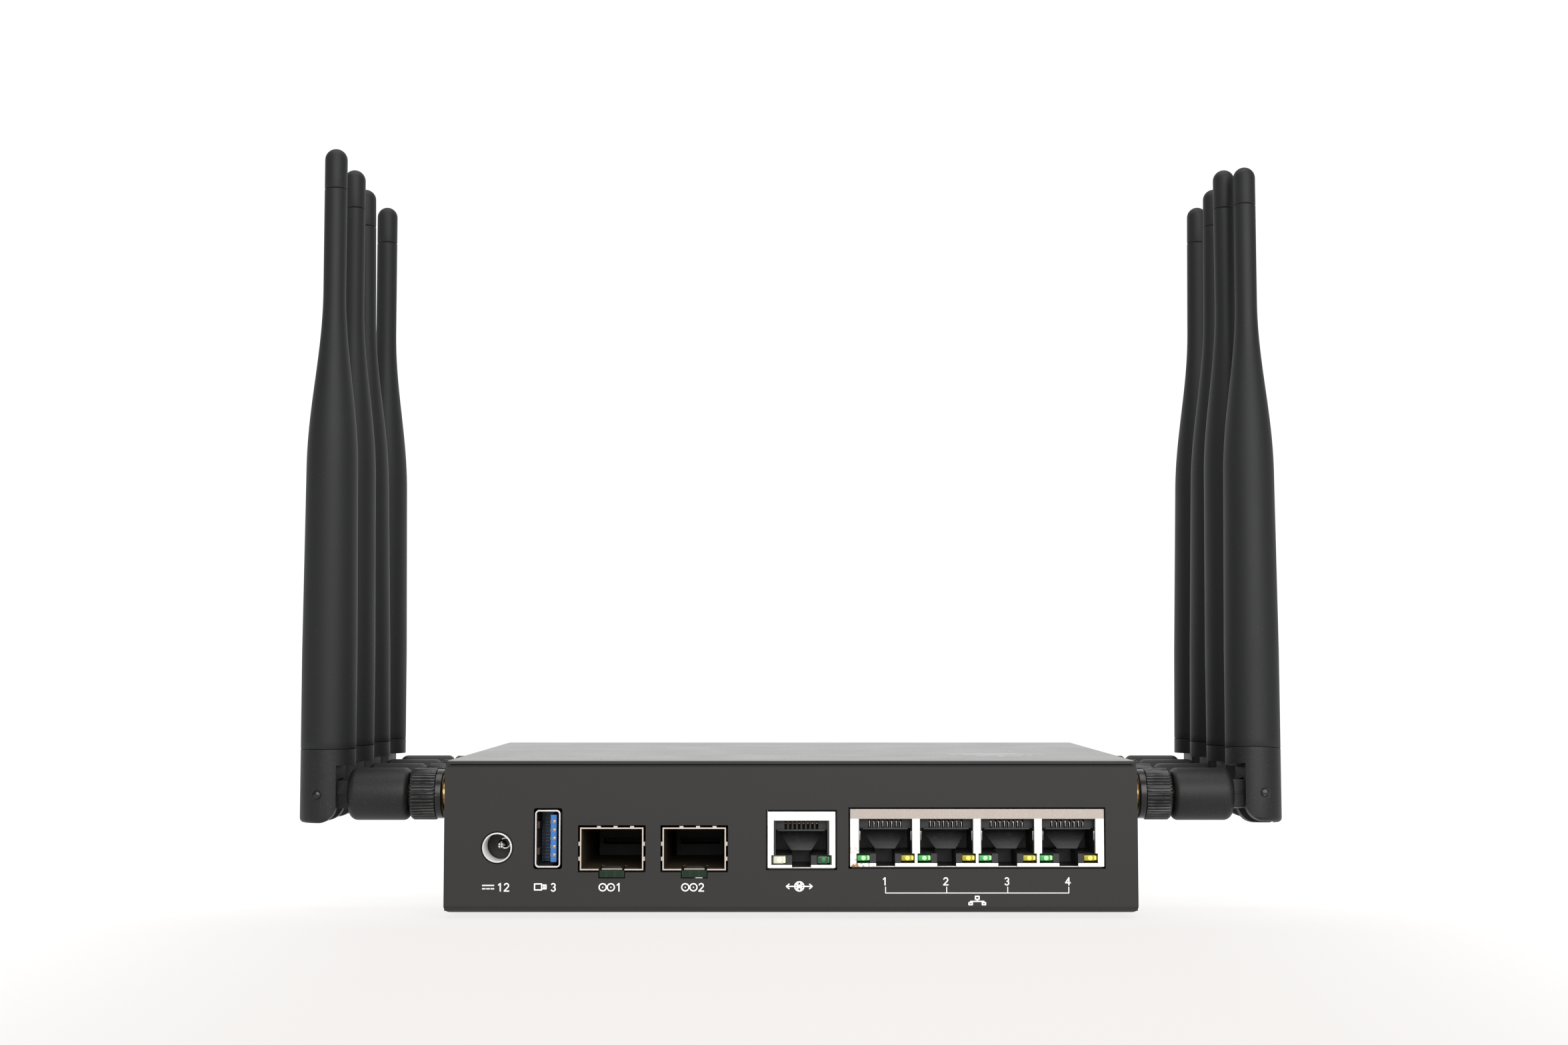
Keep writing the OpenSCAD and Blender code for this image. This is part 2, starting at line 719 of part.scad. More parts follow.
// Barrel with its flat tab, and the gold stem that the coupling nut draws onto the jack
module swivel_barrel() {
    inner_edge = 1.4;
    outer_edge = 2;
    tab_x = barrel_out - 1;
    stem_end = 94;
    color("#2b2b2d") difference() {
        union() {
            turned_x() polygon(concat([[0, barrel_in]],
                corner(barrel_r - inner_edge, barrel_in + inner_edge, inner_edge, -90),
                corner(barrel_r - outer_edge, barrel_out - outer_edge, outer_edge, 0),
                [[0, barrel_out]]));
            translate([tab_x, -tab_t / 2, -tab_half]) cube([pin_x - tab_x, tab_t, 2 * tab_half]);
            translate([pin_x, -tab_t / 2, 0]) rotate([-90, 0, 0]) cylinder(r = tab_half, h = tab_t);
            block([tab_x, -tab_t / 2 - 0.1, -0.25], [base_flat_x, tab_t / 2 + 0.1, 0.25]);
        }
        rod_y(pin_x, 0, -tab_t, tab_t, pin_r + 0.05);
        turned_x() square([collar_r + 0.05, stem_end]);
    }
    color("#c9a24b") turned_x() polygon([
        [0.6, cup_in + 0.5], [cup_r - 0.2, cup_in + 0.5], [cup_r - 0.2, jack_out + gap],
        [nut_bore_r - 0.1, jack_out + gap], [nut_bore_r - 0.1, nut_out - 1.1],
        [collar_r, nut_out - 1.1], [collar_r, stem_end - 0.1], [0, stem_end - 0.1],
        [0, jack_out + gap + 0.4], [0.6, jack_out + gap + 0.4],
    ]);
}

// Side outline of the folding base: full width above the barrel, flat beside it, with a round
// lower corner that clears the barrel as the antenna folds
module base_outline() {
    right = tube_x + tube_r + cut;
    left = tube_x - tube_r - cut;
    r = 4.2;
    translate([left, base_flat_top]) square([right - left, base_rise - base_flat_top + cut]);
    translate([base_flat_x + r, r - base_drop]) circle(r);
    translate([base_flat_x + r, -base_drop]) square([right - base_flat_x - r, base_drop + base_rise]);
    translate([base_flat_x, r - base_drop]) square([right - base_flat_x, base_drop + base_rise - r]);
}

// Side outline of the slot that the barrel's tab sweeps as the antenna folds
module tab_slot() {
    reach = tab_half + 0.35;
    translate([pin_x, 0]) {
        circle(reach);
        translate([-20, -20]) square([20, 20 + reach]);
        translate([-20, -20]) square([20 + reach, 20]);
    }
}

// Slotted lower end of the antenna with its hinge pin
module folding_base() {
    spigot_r = 4;
    recess_r = 1.4;
    cheek = sqrt(pow(tube_r, 2) - pow(pin_x - tube_x, 2));
    color("#2f2f31") difference() {
        union() {
            intersection() {
                translate([tube_x, 0, 0]) rotate_extrude() polygon(concat([[0, -base_drop]],
                    corner(tube_r - base_edge_r, base_edge_r - base_drop, base_edge_r, -90),
                    [[tube_r, base_rise], [0, base_rise]]));
                standing(-2 * tube_r, 4 * tube_r) base_outline();
            }
            rod_z(tube_x, 0, base_rise - cut, base_rise + 4, spigot_r);
        }
        standing(-tab_t / 2 - 0.25, tab_t + 0.5) tab_slot();
        rod_y(pin_x, 0, -2 * tube_r, 2 * tube_r, pin_r + 0.02);
        for (s = [-1, 1]) translate([pin_x, s * (cheek + 0.6), 0]) rotate([90, 0, 0])
            cylinder(r = recess_r, h = 2, center = true);
        rod_z(tube_x, 0, 0, base_rise + 5, 0.8);
    }
    color("#3a3a3c") intersection() {
        rod_y(pin_x, 0, -cheek, cheek, pin_r);
        translate([pin_x, 0, 0]) sphere(cheek);
    }
}

// Radius of the antenna tube: a slight taper, then a smooth shoulder down to the neck
shoulder_from = 77;
shoulder_to = 121;
waist_r = tube_r - 0.4;
function tube_radius(z) =
    z < 34 ? tube_r :
    z < shoulder_from ? tube_r - (tube_r - waist_r) * (z - 34) / (shoulder_from - 34) :
    z < shoulder_to ? neck_r + (waist_r - neck_r) * (1 + cos(180 * (z - shoulder_from)
        / (shoulder_to - shoulder_from))) / 2 :
    neck_r;

// Hollow tube, its tip cap and the brass radiator inside
module whip() {
    steps = 16;
    shoulder = [for (k = [0:steps]) let (z = shoulder_from + (shoulder_to - shoulder_from) * k / steps)
        [tube_radius(z), z]];
    socket_r = 4.05;
    cavity_r = 2.6;
    bore_r = 1.3;
    color("#2f2f31") translate([tube_x, 0, 0]) rotate_extrude() polygon(concat(
        [[socket_r, base_rise + 0.05], [tube_r, base_rise + 0.05], [tube_r, 34]],
        shoulder,
        [[neck_r, cap_z - 0.4], [neck_r - 0.3, cap_z - 0.2], [bore_r, cap_z - 0.2],
            [bore_r, shoulder_from], [cavity_r, shoulder_from - 2], [cavity_r, base_rise + 6],
            [socket_r, base_rise + 6]]
    ));
    color("#2f2f31") translate([tube_x, 0, 0]) rotate_extrude() polygon(concat(
        [[0, cap_z - 3], [bore_r - 0.05, cap_z - 3], [bore_r - 0.05, cap_z - 0.17],
            [neck_r - 0.3, cap_z - 0.17]],
        corner(neck_r - 0.3, cap_z + 0.1, 0.3, -90, 2),
        [for (k = [0:6]) [neck_r * cos(15 * k), tip_z - neck_r + neck_r * sin(15 * k)]]
    ));
    color("#c9a24b") translate([tube_x, 0, 0]) rotate_extrude() polygon([
        [0, base_rise + 8], [2.3, base_rise + 8], [2.3, shoulder_from - 6], [0.7, shoulder_from - 4],
        [0.7, cap_z - 8], [0, cap_z - 8],
    ]);
}

base_chassis();
top_cover();
rubber_feet();
cover_screws();
main_board();
board_standoffs();
board_screws();
board_components();
heat_sink();
radio_shields();
antenna_leads();
dc_jack();
dc_contacts();
usb_shell();
usb_tongue();
fibre_cages();
fibre_connectors();
button_switches();
power_button();
reset_button();
status_lamps();
single_port_shield();
single_port_housing();
gang_shield();
gang_housing();
port_contacts();
port_lights();
antenna_jacks();
for (i = [0:ANTENNAS - 1]) {
    at_antenna(i) coupling_nut();
    at_antenna(i) swivel_barrel();
    at_antenna(i) splayed(i) folding_base();
    at_antenna(i) splayed(i) whip();
}
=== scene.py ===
# %% [markdown]
# # A wireless router, from the folded case to the antenna tips
# The router is a low case folded from painted sheet metal. A row of sockets looks out of
# its front panel, and four folding antennas stand along each side wall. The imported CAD
# model already holds every part that has to fit or move, so this file gives those parts
# their finishes, and rebuilds the ones whose rounded edges and fine detail show.

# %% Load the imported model
import json
import math

import bmesh
import bpy
from mathutils import Matrix, Vector

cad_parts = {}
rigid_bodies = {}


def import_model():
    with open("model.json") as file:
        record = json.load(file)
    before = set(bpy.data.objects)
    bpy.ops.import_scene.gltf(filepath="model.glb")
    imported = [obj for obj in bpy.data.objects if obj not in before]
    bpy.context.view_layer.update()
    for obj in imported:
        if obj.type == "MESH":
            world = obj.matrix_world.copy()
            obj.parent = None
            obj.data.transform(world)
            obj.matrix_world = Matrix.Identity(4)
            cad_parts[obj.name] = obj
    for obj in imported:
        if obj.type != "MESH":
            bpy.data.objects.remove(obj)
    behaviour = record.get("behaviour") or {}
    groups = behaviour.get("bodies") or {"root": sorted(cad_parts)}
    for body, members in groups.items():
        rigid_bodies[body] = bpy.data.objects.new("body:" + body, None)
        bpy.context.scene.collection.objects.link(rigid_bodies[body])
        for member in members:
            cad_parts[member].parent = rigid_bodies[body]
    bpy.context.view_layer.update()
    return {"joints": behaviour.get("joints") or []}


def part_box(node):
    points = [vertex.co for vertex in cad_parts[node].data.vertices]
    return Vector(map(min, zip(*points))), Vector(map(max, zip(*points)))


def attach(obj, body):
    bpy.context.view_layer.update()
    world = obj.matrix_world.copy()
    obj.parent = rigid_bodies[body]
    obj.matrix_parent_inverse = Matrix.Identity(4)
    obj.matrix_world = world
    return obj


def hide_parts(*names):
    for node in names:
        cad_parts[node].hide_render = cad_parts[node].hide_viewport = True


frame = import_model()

scene = bpy.context.scene
MM = 0.001
joints = {joint["name"]: joint for joint in frame["joints"]}

# %% [markdown]
# ## Measures taken from the frame
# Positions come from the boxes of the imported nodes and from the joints, so a change in the
# CAD moves everything here with it. The front panel faces -Y, and the case's bottom plate
# lies just above the floor on its rubber feet.

# %% Landmarks on the case
case_low, case_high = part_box("base_chassis")
front_y = case_low.y
rear_y = case_high.y
plate_z = case_low.z
cover_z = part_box("top_cover")[1].z
print("case width", round((case_high.x - case_low.x) / MM, 1), "mm, front at", round(front_y / MM, 1))

# %% Landmarks on the antennas
ANTENNAS = range(1, 9)


def mirrored_box(node):
    """The box of a left-hand part as it would be on the right."""
    low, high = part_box(node)
    return Vector((-high.x, low.y, low.z)), Vector((-low.x, high.y, high.z))


# Antenna 1 stands straight, so its boxes give the template's measures
first_pin = Vector(joints["fold_1"]["pos_m"])
axis_z = first_pin.z
pin_x = -first_pin.x
whip_low, whip_high = mirrored_box("whip_1")
barrel_low, barrel_high = mirrored_box("swivel_barrel_1")
nut_low, nut_high = mirrored_box("coupling_nut_1")
tube_x = (whip_low.x + whip_high.x) / 2
tube_r = (whip_high.x - whip_low.x) / 2
barrel_r = (barrel_high.z - barrel_low.z) / 2
nut_r = (nut_high.z - nut_low.z) / 2
print("tube radius", round(tube_r / MM, 2), "barrel radius", round(barrel_r / MM, 2))

# %% [markdown]
# ## The camera
# The camera stands straight in front, a little above the case, and is tilted slightly up so
# that the antennas fill the frame. The lens is a normal one: at half a metre it shows the top
# cover as a thin band, and the rows of antennas step inwards.

# %% Camera
CAMERA_X = -1.6 * MM
CAMERA_BACK = 500 * MM
CAMERA_HEIGHT = 57.3 * MM
CAMERA_TILT = math.radians(3.68)
LENS_MM = 49.74
SENSOR_MM = 36
camera = bpy.data.objects.new("camera", bpy.data.cameras.new("camera"))
scene.collection.objects.link(camera)
camera.data.lens = LENS_MM
camera.data.sensor_width = SENSOR_MM
camera.data.clip_start = 0.01
camera.data.clip_end = 50
camera.location = (CAMERA_X, front_y - CAMERA_BACK, plate_z + CAMERA_HEIGHT)
camera.rotation_euler = (math.pi / 2 + CAMERA_TILT, 0, 0)
scene.camera = camera
print("camera at", tuple(round(v, 3) for v in camera.location))

# %% [markdown]
# ## Shared helpers
# Round parts are turned from an outline of [radius, place along the axis] pairs, as on a
# lathe. Parts that a lathe can't make start as turned or extruded blanks that cut each
# other, as milling does, and then get their small edge radius from a bevel.

# %% Lathe
def smooth(mesh, angle=32):
    """Smooth shading, with edges sharper than the angle kept crisp."""
    mesh.shade_smooth()
    mesh.set_sharp_from_angle(angle=math.radians(angle))
    return mesh


def mesh_from(bm, name, outward=True):
    """Turns a finished bmesh into a mesh whose faces look outwards."""
    if outward:
        bmesh.ops.recalc_face_normals(bm, faces=bm.faces)
    mesh = bpy.data.meshes.new(name)
    bm.to_mesh(mesh)
    bm.free()
    return mesh


def lathe(name, outline, segments=96, along="X", wobble=None):
    """Turns an outline of (radius, place) pairs about an axis. wobble(angle, k) scales ring k."""
    bm = bmesh.new()
    rings = []
    for k, (radius, place) in enumerate(outline):
        ring = []
        for j in range(segments if radius > 0 else 1):
            angle = 2 * math.pi * j / segments
            r = radius * (wobble(angle, k) if wobble else 1)
            a, b = r * math.cos(angle), r * math.sin(angle)
            point = (place, a, b) if along == "X" else (a, b, place)
            ring.append(bm.verts.new(point))
        rings.append(ring)
    for low, high in zip(rings, rings[1:]):
        for j in range(segments):
            n = (j + 1) % segments
            corners = [low[j % len(low)], low[n % len(low)], high[n % len(high)], high[j % len(high)]]
            unique = list(dict.fromkeys(corners))
            if len(unique) > 2:
                bm.faces.new(unique)
    return smooth(mesh_from(bm, name))


def arc(cx, cy, r, start, end, steps=6):
    """Points on an arc about (cx, cy) from start to end degrees."""
    angles = [math.radians(start + (end - start) * k / steps) for k in range(steps + 1)]
    return [(cx + r * math.cos(a), cy + r * math.sin(a)) for a in angles]


# %% Blocks, extrusions and cutting
def block(name, low, high, edge=0.0, steps=2):
    """A box between two corners with all its edges rounded."""
    bm = bmesh.new()
    bmesh.ops.create_cube(bm, size=1)
    size = Vector(high) - Vector(low)
    middle = (Vector(high) + Vector(low)) / 2
    bmesh.ops.scale(bm, vec=size, verts=bm.verts)
    bmesh.ops.translate(bm, vec=middle, verts=bm.verts)
    if edge:
        bmesh.ops.bevel(bm, geom=bm.edges[:], offset=edge, segments=steps, affect="EDGES", profile=0.5)
    return smooth(mesh_from(bm, name, outward=False))


def prism(name, outline, start, end, plane="XZ"):
    """Extrudes a flat outline: drawn in X and Z it runs along Y, drawn in X and Y along Z."""
    bm = bmesh.new()
    where = (lambda p, d: (p[0], d, p[1])) if plane == "XZ" else (lambda p, d: (p[0], p[1], d))
    near = [bm.verts.new(where(p, start)) for p in outline]
    far = [bm.verts.new(where(p, end)) for p in outline]
    bm.faces.new(near)
    bm.faces.new(far[::-1])
    for k in range(len(outline)):
        n = (k + 1) % len(outline)
        bm.faces.new([near[k], far[k], far[n], near[n]])
    return mesh_from(bm, name)


def evaluated(piece):
    """The piece's mesh with its modifiers applied."""
    seen_by = bpy.context.evaluated_depsgraph_get()
    return bpy.data.meshes.new_from_object(piece.evaluated_get(seen_by))


def round_edges(piece, width, angle):
    """Bevels every edge that turns by more than the angle."""
    rounding = piece.modifiers.new("rounding", "BEVEL")
    rounding.width = width
    rounding.segments = 2
    rounding.limit_method = "ANGLE"
    rounding.angle_limit = math.radians(angle)
    rounding.use_clamp_overlap = True
    return rounding


def worked(mesh, cutters=(), joins=(), keeps=(), edge=0.0, angle=32):
    """Cuts, joins and intersects meshes in the order join, keep, cut, then rounds the edges."""
    blank = bpy.data.objects.new("blank", mesh)
    scene.collection.objects.link(blank)
    tools = []
    steps = [("UNION", m) for m in joins] + [("INTERSECT", m) for m in keeps]
    for operation, tool_mesh in steps + [("DIFFERENCE", m) for m in cutters]:
        tool = bpy.data.objects.new("tool", tool_mesh)
        scene.collection.objects.link(tool)
        tools.append(tool)
        cut = blank.modifiers.new("cut", "BOOLEAN")
        cut.operation = operation
        cut.solver = "EXACT"
        cut.object = tool
    if edge:
        round_edges(blank, edge, angle)
    result = evaluated(blank)
    for spent in [blank] + tools:
        bpy.data.objects.remove(spent)
    return smooth(result, angle)


# %% Placing pieces
def add_piece(name, mesh, body, material, replaces=()):
    """Puts a finished mesh into the scene as a piece that rides on a body."""
    piece = bpy.data.objects.new(name, mesh)
    scene.collection.objects.link(piece)
    piece.data.materials.clear()
    piece.data.materials.append(material)
    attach(piece, body)
    if replaces:
        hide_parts(*replaces)
    return piece


def antenna_matrix(number, folds):
    """Moves a part made at the right wall, about the connector's axis, to an antenna's place."""
    pin = Vector(joints[f"fold_{number}"]["pos_m"])
    side = 1 if pin.x > 0 else -1
    away = [vertex.co - pin for vertex in bpy.data.objects[f"whip_{number}"].data.vertices]
    tip = max(away, key=lambda offset: offset.length)
    lean = math.atan2(tip.y, tip.z)
    upright = math.atan2(tube_x - pin_x, whip_high.z - axis_z)
    splay = math.atan2(tip.x * side, math.hypot(tip.y, tip.z)) - upright if folds else 0
    to_pin = Matrix.Translation((pin_x, 0, 0))
    about_pin = to_pin @ Matrix.Rotation(splay, 4, "Y") @ to_pin.inverted()
    mirror = Matrix.Scale(side, 4, (1, 0, 0))
    return Matrix.Translation((0, pin.y, pin.z)) @ Matrix.Rotation(-lean, 4, "X") @ mirror @ about_pin, side


def antenna_pieces(name, mesh, body, material, node=None):
    """Copies one part to all eight antennas."""
    made = []
    for number in ANTENNAS:
        place, side = antenna_matrix(number, body == "antenna")
        copy = mesh.copy()
        copy.transform(place)
        if side < 0:
            copy.flip_normals()
        made.append(add_piece(f"{name}_{number}", copy, f"{body}_{number}", material,
                              [f"{node}_{number}"] if node else ()))
    print(name, "x", len(made), "with", len(mesh.polygons), "faces each")
    return made


# %% [markdown]
# ## Shader groups that several finishes share
# Paint, moulded plastic and plated metal all show the same few things close up: a fine
# grain, slow changes of tone, dust on top, hair-thin scratches and worn edges; on the nut's
# ribs the edge mask carries a painted highlight instead. Each is a node group made once,
# with its own inputs, and every finish sets its own amounts.

# %% Group helper
def start_group(name, inputs, outputs):
    tree = bpy.data.node_groups.new(name, "ShaderNodeTree")
    for label, value in inputs:
        socket = tree.interface.new_socket(label, in_out="INPUT", socket_type="NodeSocketFloat")
        socket.default_value = value
    for label in outputs:
        tree.interface.new_socket(label, in_out="OUTPUT", socket_type="NodeSocketFloat")
    entry = tree.nodes.new("NodeGroupInput")
    leave = tree.nodes.new("NodeGroupOutput")
    return tree, entry, leave


def math_node(tree, operation, a, b=None, clamp=False):
    node = tree.nodes.new("ShaderNodeMath")
    node.operation = operation
    node.use_clamp = clamp
    for socket, value in zip(node.inputs, (a, b)):
        if value is None:
            continue
        if isinstance(value, (int, float)):
            socket.default_value = value
        else:
            tree.links.new(value, socket)
    return node.outputs[0]


def ramp_between(tree, value, low, high):
    node = tree.nodes.new("ShaderNodeMapRange")
    node.interpolation_type = "SMOOTHSTEP"
    for label, wanted in (("Value", value), ("From Min", low), ("From Max", high)):
        if isinstance(wanted, (int, float)):
            node.inputs[label].default_value = wanted
        else:
            tree.links.new(wanted, node.inputs[label])
    return node.outputs["Result"]


def object_place(tree):
    """The object's own coordinates, in metres."""
    return tree.nodes.new("ShaderNodeTexCoord").outputs["Object"]


def object_noise(tree, scale, detail=2.0, stretch=(1, 1, 1)):
    mapping = tree.nodes.new("ShaderNodeMapping")
    mapping.inputs["Scale"].default_value = stretch
    noise = tree.nodes.new("ShaderNodeTexNoise")
    noise.inputs["Detail"].default_value = detail
    tree.links.new(object_place(tree), mapping.inputs["Vector"])
    tree.links.new(mapping.outputs["Vector"], noise.inputs["Vector"])
    if isinstance(scale, (int, float)):
        noise.inputs["Scale"].default_value = scale
    else:
        tree.links.new(scale, noise.inputs["Scale"])
    return noise.outputs["Fac"]


# %% Surface grain: fine bumps, slow tone and tiny bright specks
SPECKS_PER_METRE = 6000.0
SPECK_RADIUS = 0.26


def make_grain_group():
    tree, entry, leave = start_group("surface_grain", [("Scale", 2500.0), ("Speck Limit", 0.07)],
                                     ["Height", "Tone", "Specks"])
    fine = object_noise(tree, entry.outputs["Scale"], 3.0)
    slow = object_noise(tree, 60.0, 4.0)
    cells = tree.nodes.new("ShaderNodeTexVoronoi")
    cells.inputs["Scale"].default_value = SPECKS_PER_METRE
    tree.links.new(object_place(tree), cells.inputs["Vector"])
    chosen = tree.nodes.new("ShaderNodeSeparateColor")
    tree.links.new(cells.outputs["Color"], chosen.inputs["Color"])
    rare = math_node(tree, "LESS_THAN", chosen.outputs[0], entry.outputs["Speck Limit"])
    small = math_node(tree, "LESS_THAN", cells.outputs["Distance"], SPECK_RADIUS)
    tree.links.new(fine, leave.inputs["Height"])
    tree.links.new(slow, leave.inputs["Tone"])
    tree.links.new(math_node(tree, "MULTIPLY", rare, small), leave.inputs["Specks"])
    return tree


grain_group = make_grain_group()
print("made", grain_group.name)


# %% Dust: what settles on faces that look up
def make_dust_group():
    tree, entry, leave = start_group("settled_dust", [("Amount", 0.3)], ["Mask"])
    geometry = tree.nodes.new("ShaderNodeNewGeometry")
    split = tree.nodes.new("ShaderNodeSeparateXYZ")
    tree.links.new(geometry.outputs["Normal"], split.inputs[0])
    upward = ramp_between(tree, split.outputs["Z"], 0.5, 1.0)
    patches = ramp_between(tree, object_noise(tree, 900.0, 5.0), 0.5, 0.75)
    both = math_node(tree, "MULTIPLY", upward, patches)
    tree.links.new(math_node(tree, "MULTIPLY", both, entry.outputs["Amount"]), leave.inputs["Mask"])
    return tree


dust_group = make_dust_group()
print("made", dust_group.name)


# %% Scratches: short thin lines in two directions
def make_scratch_group():
    tree, entry, leave = start_group("fine_scratches", [("Amount", 0.5)], ["Mask"])
    lines = []
    for stretch in ((1, 0.03, 0.05), (0.04, 1, 0.8)):
        streaks = object_noise(tree, 2600.0, 1.0, stretch)
        lines.append(ramp_between(tree, streaks, 0.69, 0.74))
    both = math_node(tree, "MAXIMUM", lines[0], lines[1])
    tree.links.new(math_node(tree, "MULTIPLY", both, entry.outputs["Amount"]), leave.inputs["Mask"])
    return tree


scratch_group = make_scratch_group()
print("made", scratch_group.name)


# %% Edge wear and painted highlight: lighter where the surface turns sharply outwards
def make_wear_group():
    tree, entry, leave = start_group("edge_wear_and_highlight", [("Amount", 0.5), ("Start", 0.53)], ["Mask"])
    geometry = tree.nodes.new("ShaderNodeNewGeometry")
    finish_at = math_node(tree, "ADD", entry.outputs["Start"], 0.06)
    edges = ramp_between(tree, geometry.outputs["Pointiness"], entry.outputs["Start"], finish_at)
    broken = ramp_between(tree, object_noise(tree, 700.0, 4.0), 0.35, 0.65)
    both = math_node(tree, "MULTIPLY", edges, broken)
    tree.links.new(math_node(tree, "MULTIPLY", both, entry.outputs["Amount"]), leave.inputs["Mask"])
    return tree


wear_and_highlight_group = make_wear_group()
print("made", wear_and_highlight_group.name)


# %% Drawn lines: the faint streaks that rolling and bending leave in bare metal
def make_drawn_group():
    tree, entry, leave = start_group("drawn_metal", [("Scale", 3000.0)], ["Height", "Tone"])
    streaks = object_noise(tree, entry.outputs["Scale"], 2.0, (0.06, 1, 1))
    tree.links.new(streaks, leave.inputs["Height"])
    tree.links.new(object_noise(tree, 350.0, 3.0), leave.inputs["Tone"])
    return tree


drawn_group = make_drawn_group()
print("made", drawn_group.name)

# %% [markdown]
# ## Building a finish
# A finish is one Principled shader. Its constant values sit on its own sockets. What
# changes over the surface comes from the groups: a mask mixes a second colour in, shifts the
# roughness, or drives a bump.

# %% Finish helpers
class Finish:
    """A material under construction, with short calls for what the finishes have in common."""

    def __init__(self, name, color, roughness, metallic=0.0, shine=0.5):
        self.material = bpy.data.materials.new(name)
        self.material.use_nodes = True
        self.tree = self.material.node_tree
        self.shader = self.tree.nodes["Principled BSDF"]
        self.shader.inputs["Base Color"].default_value = (*color, 1)
        self.shader.inputs["Roughness"].default_value = roughness
        self.shader.inputs["Metallic"].default_value = metallic
        self.shader.inputs["Specular IOR Level"].default_value = shine
        self.color = (*color, 1)
        self.color_from = None
        self.rough = roughness
        self.rough_from = None
        self.height_from = None

    def group(self, tree, **values):
        node = self.tree.nodes.new("ShaderNodeGroup")
        node.node_tree = tree
        for label, value in values.items():
            node.inputs[label.replace("_", " ")].default_value = value
        return node

    def tint(self, mask, color):
        """Mixes a second colour in where the mask is high."""
        mix = self.tree.nodes.new("ShaderNodeMix")
        mix.data_type = "RGBA"
        self.tree.links.new(mask, mix.inputs["Factor"])
        if self.color_from is None:
            mix.inputs[6].default_value = self.color
        else:
            self.tree.links.new(self.color_from, mix.inputs[6])
        mix.inputs[7].default_value = (*color, 1)
        self.color_from = mix.outputs[2]
        self.tree.links.new(self.color_from, self.shader.inputs["Base Color"])

    def roughen(self, mask, by):
        """Adds to the roughness where the mask is high."""
        start = self.rough if self.rough_from is None else self.rough_from
        change = math_node(self.tree, "MULTIPLY", mask, by)
        self.rough_from = math_node(self.tree, "ADD", change, start, clamp=True)
        self.tree.links.new(self.rough_from, self.shader.inputs["Roughness"])

    def bump(self, height, depth_mm, strength=1.0):
        """Raises the surface by a height map, on top of any earlier bump."""
        node = self.tree.nodes.new("ShaderNodeBump")
        node.inputs["Strength"].default_value = strength
        node.inputs["Distance"].default_value = depth_mm * MM
        self.tree.links.new(height, node.inputs["Height"])
        if self.height_from is not None:
            self.tree.links.new(self.height_from, node.inputs["Normal"])
        self.height_from = node.outputs["Normal"]
        self.tree.links.new(self.height_from, self.shader.inputs["Normal"])

    def both(self, a, b):
        """Where two masks overlap."""
        return math_node(self.tree, "MULTIPLY", a, b)

    def band(self, axis, low, high):
        """A mask that rises from 0 to 1 along an object axis, between two places in metres."""
        split = self.tree.nodes.new("ShaderNodeSeparateXYZ")
        self.tree.links.new(object_place(self.tree), split.inputs[0])
        return ramp_between(self.tree, split.outputs[axis], low, high)


# %% [markdown]
# ## Paint
# The case is powder coated: a charcoal paint with a very fine orange-peel grain, matt on the
# panels and smoother on the cover. Close up it carries a little dust and a few hair lines.

# %% Case paints
def painted(name, color, roughness, grain_mm, shine, dust=0.25, hair=0.08):
    paint = Finish(name, color, roughness, shine=shine)
    grain = paint.group(grain_group, Scale=1900.0, Speck_Limit=0.0015)
    paint.tint(grain.outputs["Tone"], tuple(c * 1.22 for c in color))
    paint.roughen(grain.outputs["Tone"], 0.10)
    paint.tint(grain.outputs["Specks"], (0.10, 0.10, 0.09))
    scratches = paint.group(scratch_group, Amount=hair)
    paint.tint(scratches.outputs["Mask"], tuple(c * 2.0 for c in color))
    settled = paint.group(dust_group, Amount=dust)
    paint.tint(settled.outputs["Mask"], (0.32, 0.31, 0.30))
    paint.roughen(settled.outputs["Mask"], 0.3)
    paint.bump(grain.outputs["Height"], grain_mm)
    return paint


chassis_finish = painted("charcoal_powder_coat", (0.0160, 0.0150, 0.0144), 0.50, 0.010, 0.35)
cover_finish = painted("satin_cover_paint", (0.022, 0.022, 0.022), 0.20, 0.003, 0.62, dust=0.12)

# The seam between panel and cover carries painted shade where the cover would shadow the panel's top fold,
# and the cover's front edge carries a painted highlight along its top
SEAM_PAINTED_SHADE = (0.002, 0.002, 0.002)
front_fold = chassis_finish.band("Y", front_y + 1.6 * MM, front_y + 1.2 * MM)
under_cover = chassis_finish.band("Z", cover_z - 1.8 * MM, cover_z - 1.45 * MM)
chassis_finish.tint(chassis_finish.both(front_fold, under_cover), SEAM_PAINTED_SHADE)
front_edge = cover_finish.band("Y", front_y + 0.35 * MM, front_y + 0.15 * MM)
low_half = cover_finish.band("Z", cover_z - 0.45 * MM, cover_z - 0.6 * MM)
painted_highlight_line = cover_finish.band("Z", cover_z - 0.3 * MM, cover_z - 0.2 * MM)
# Painted shade on the lower half of the cover's front edge, and a painted highlight along its top
cover_finish.tint(cover_finish.both(front_edge, low_half), SEAM_PAINTED_SHADE)
cover_finish.tint(cover_finish.both(front_edge, painted_highlight_line), (0.26, 0.26, 0.25))
chassis_paint, cover_paint = chassis_finish.material, cover_finish.material
print("paints", chassis_paint.name, cover_paint.name)
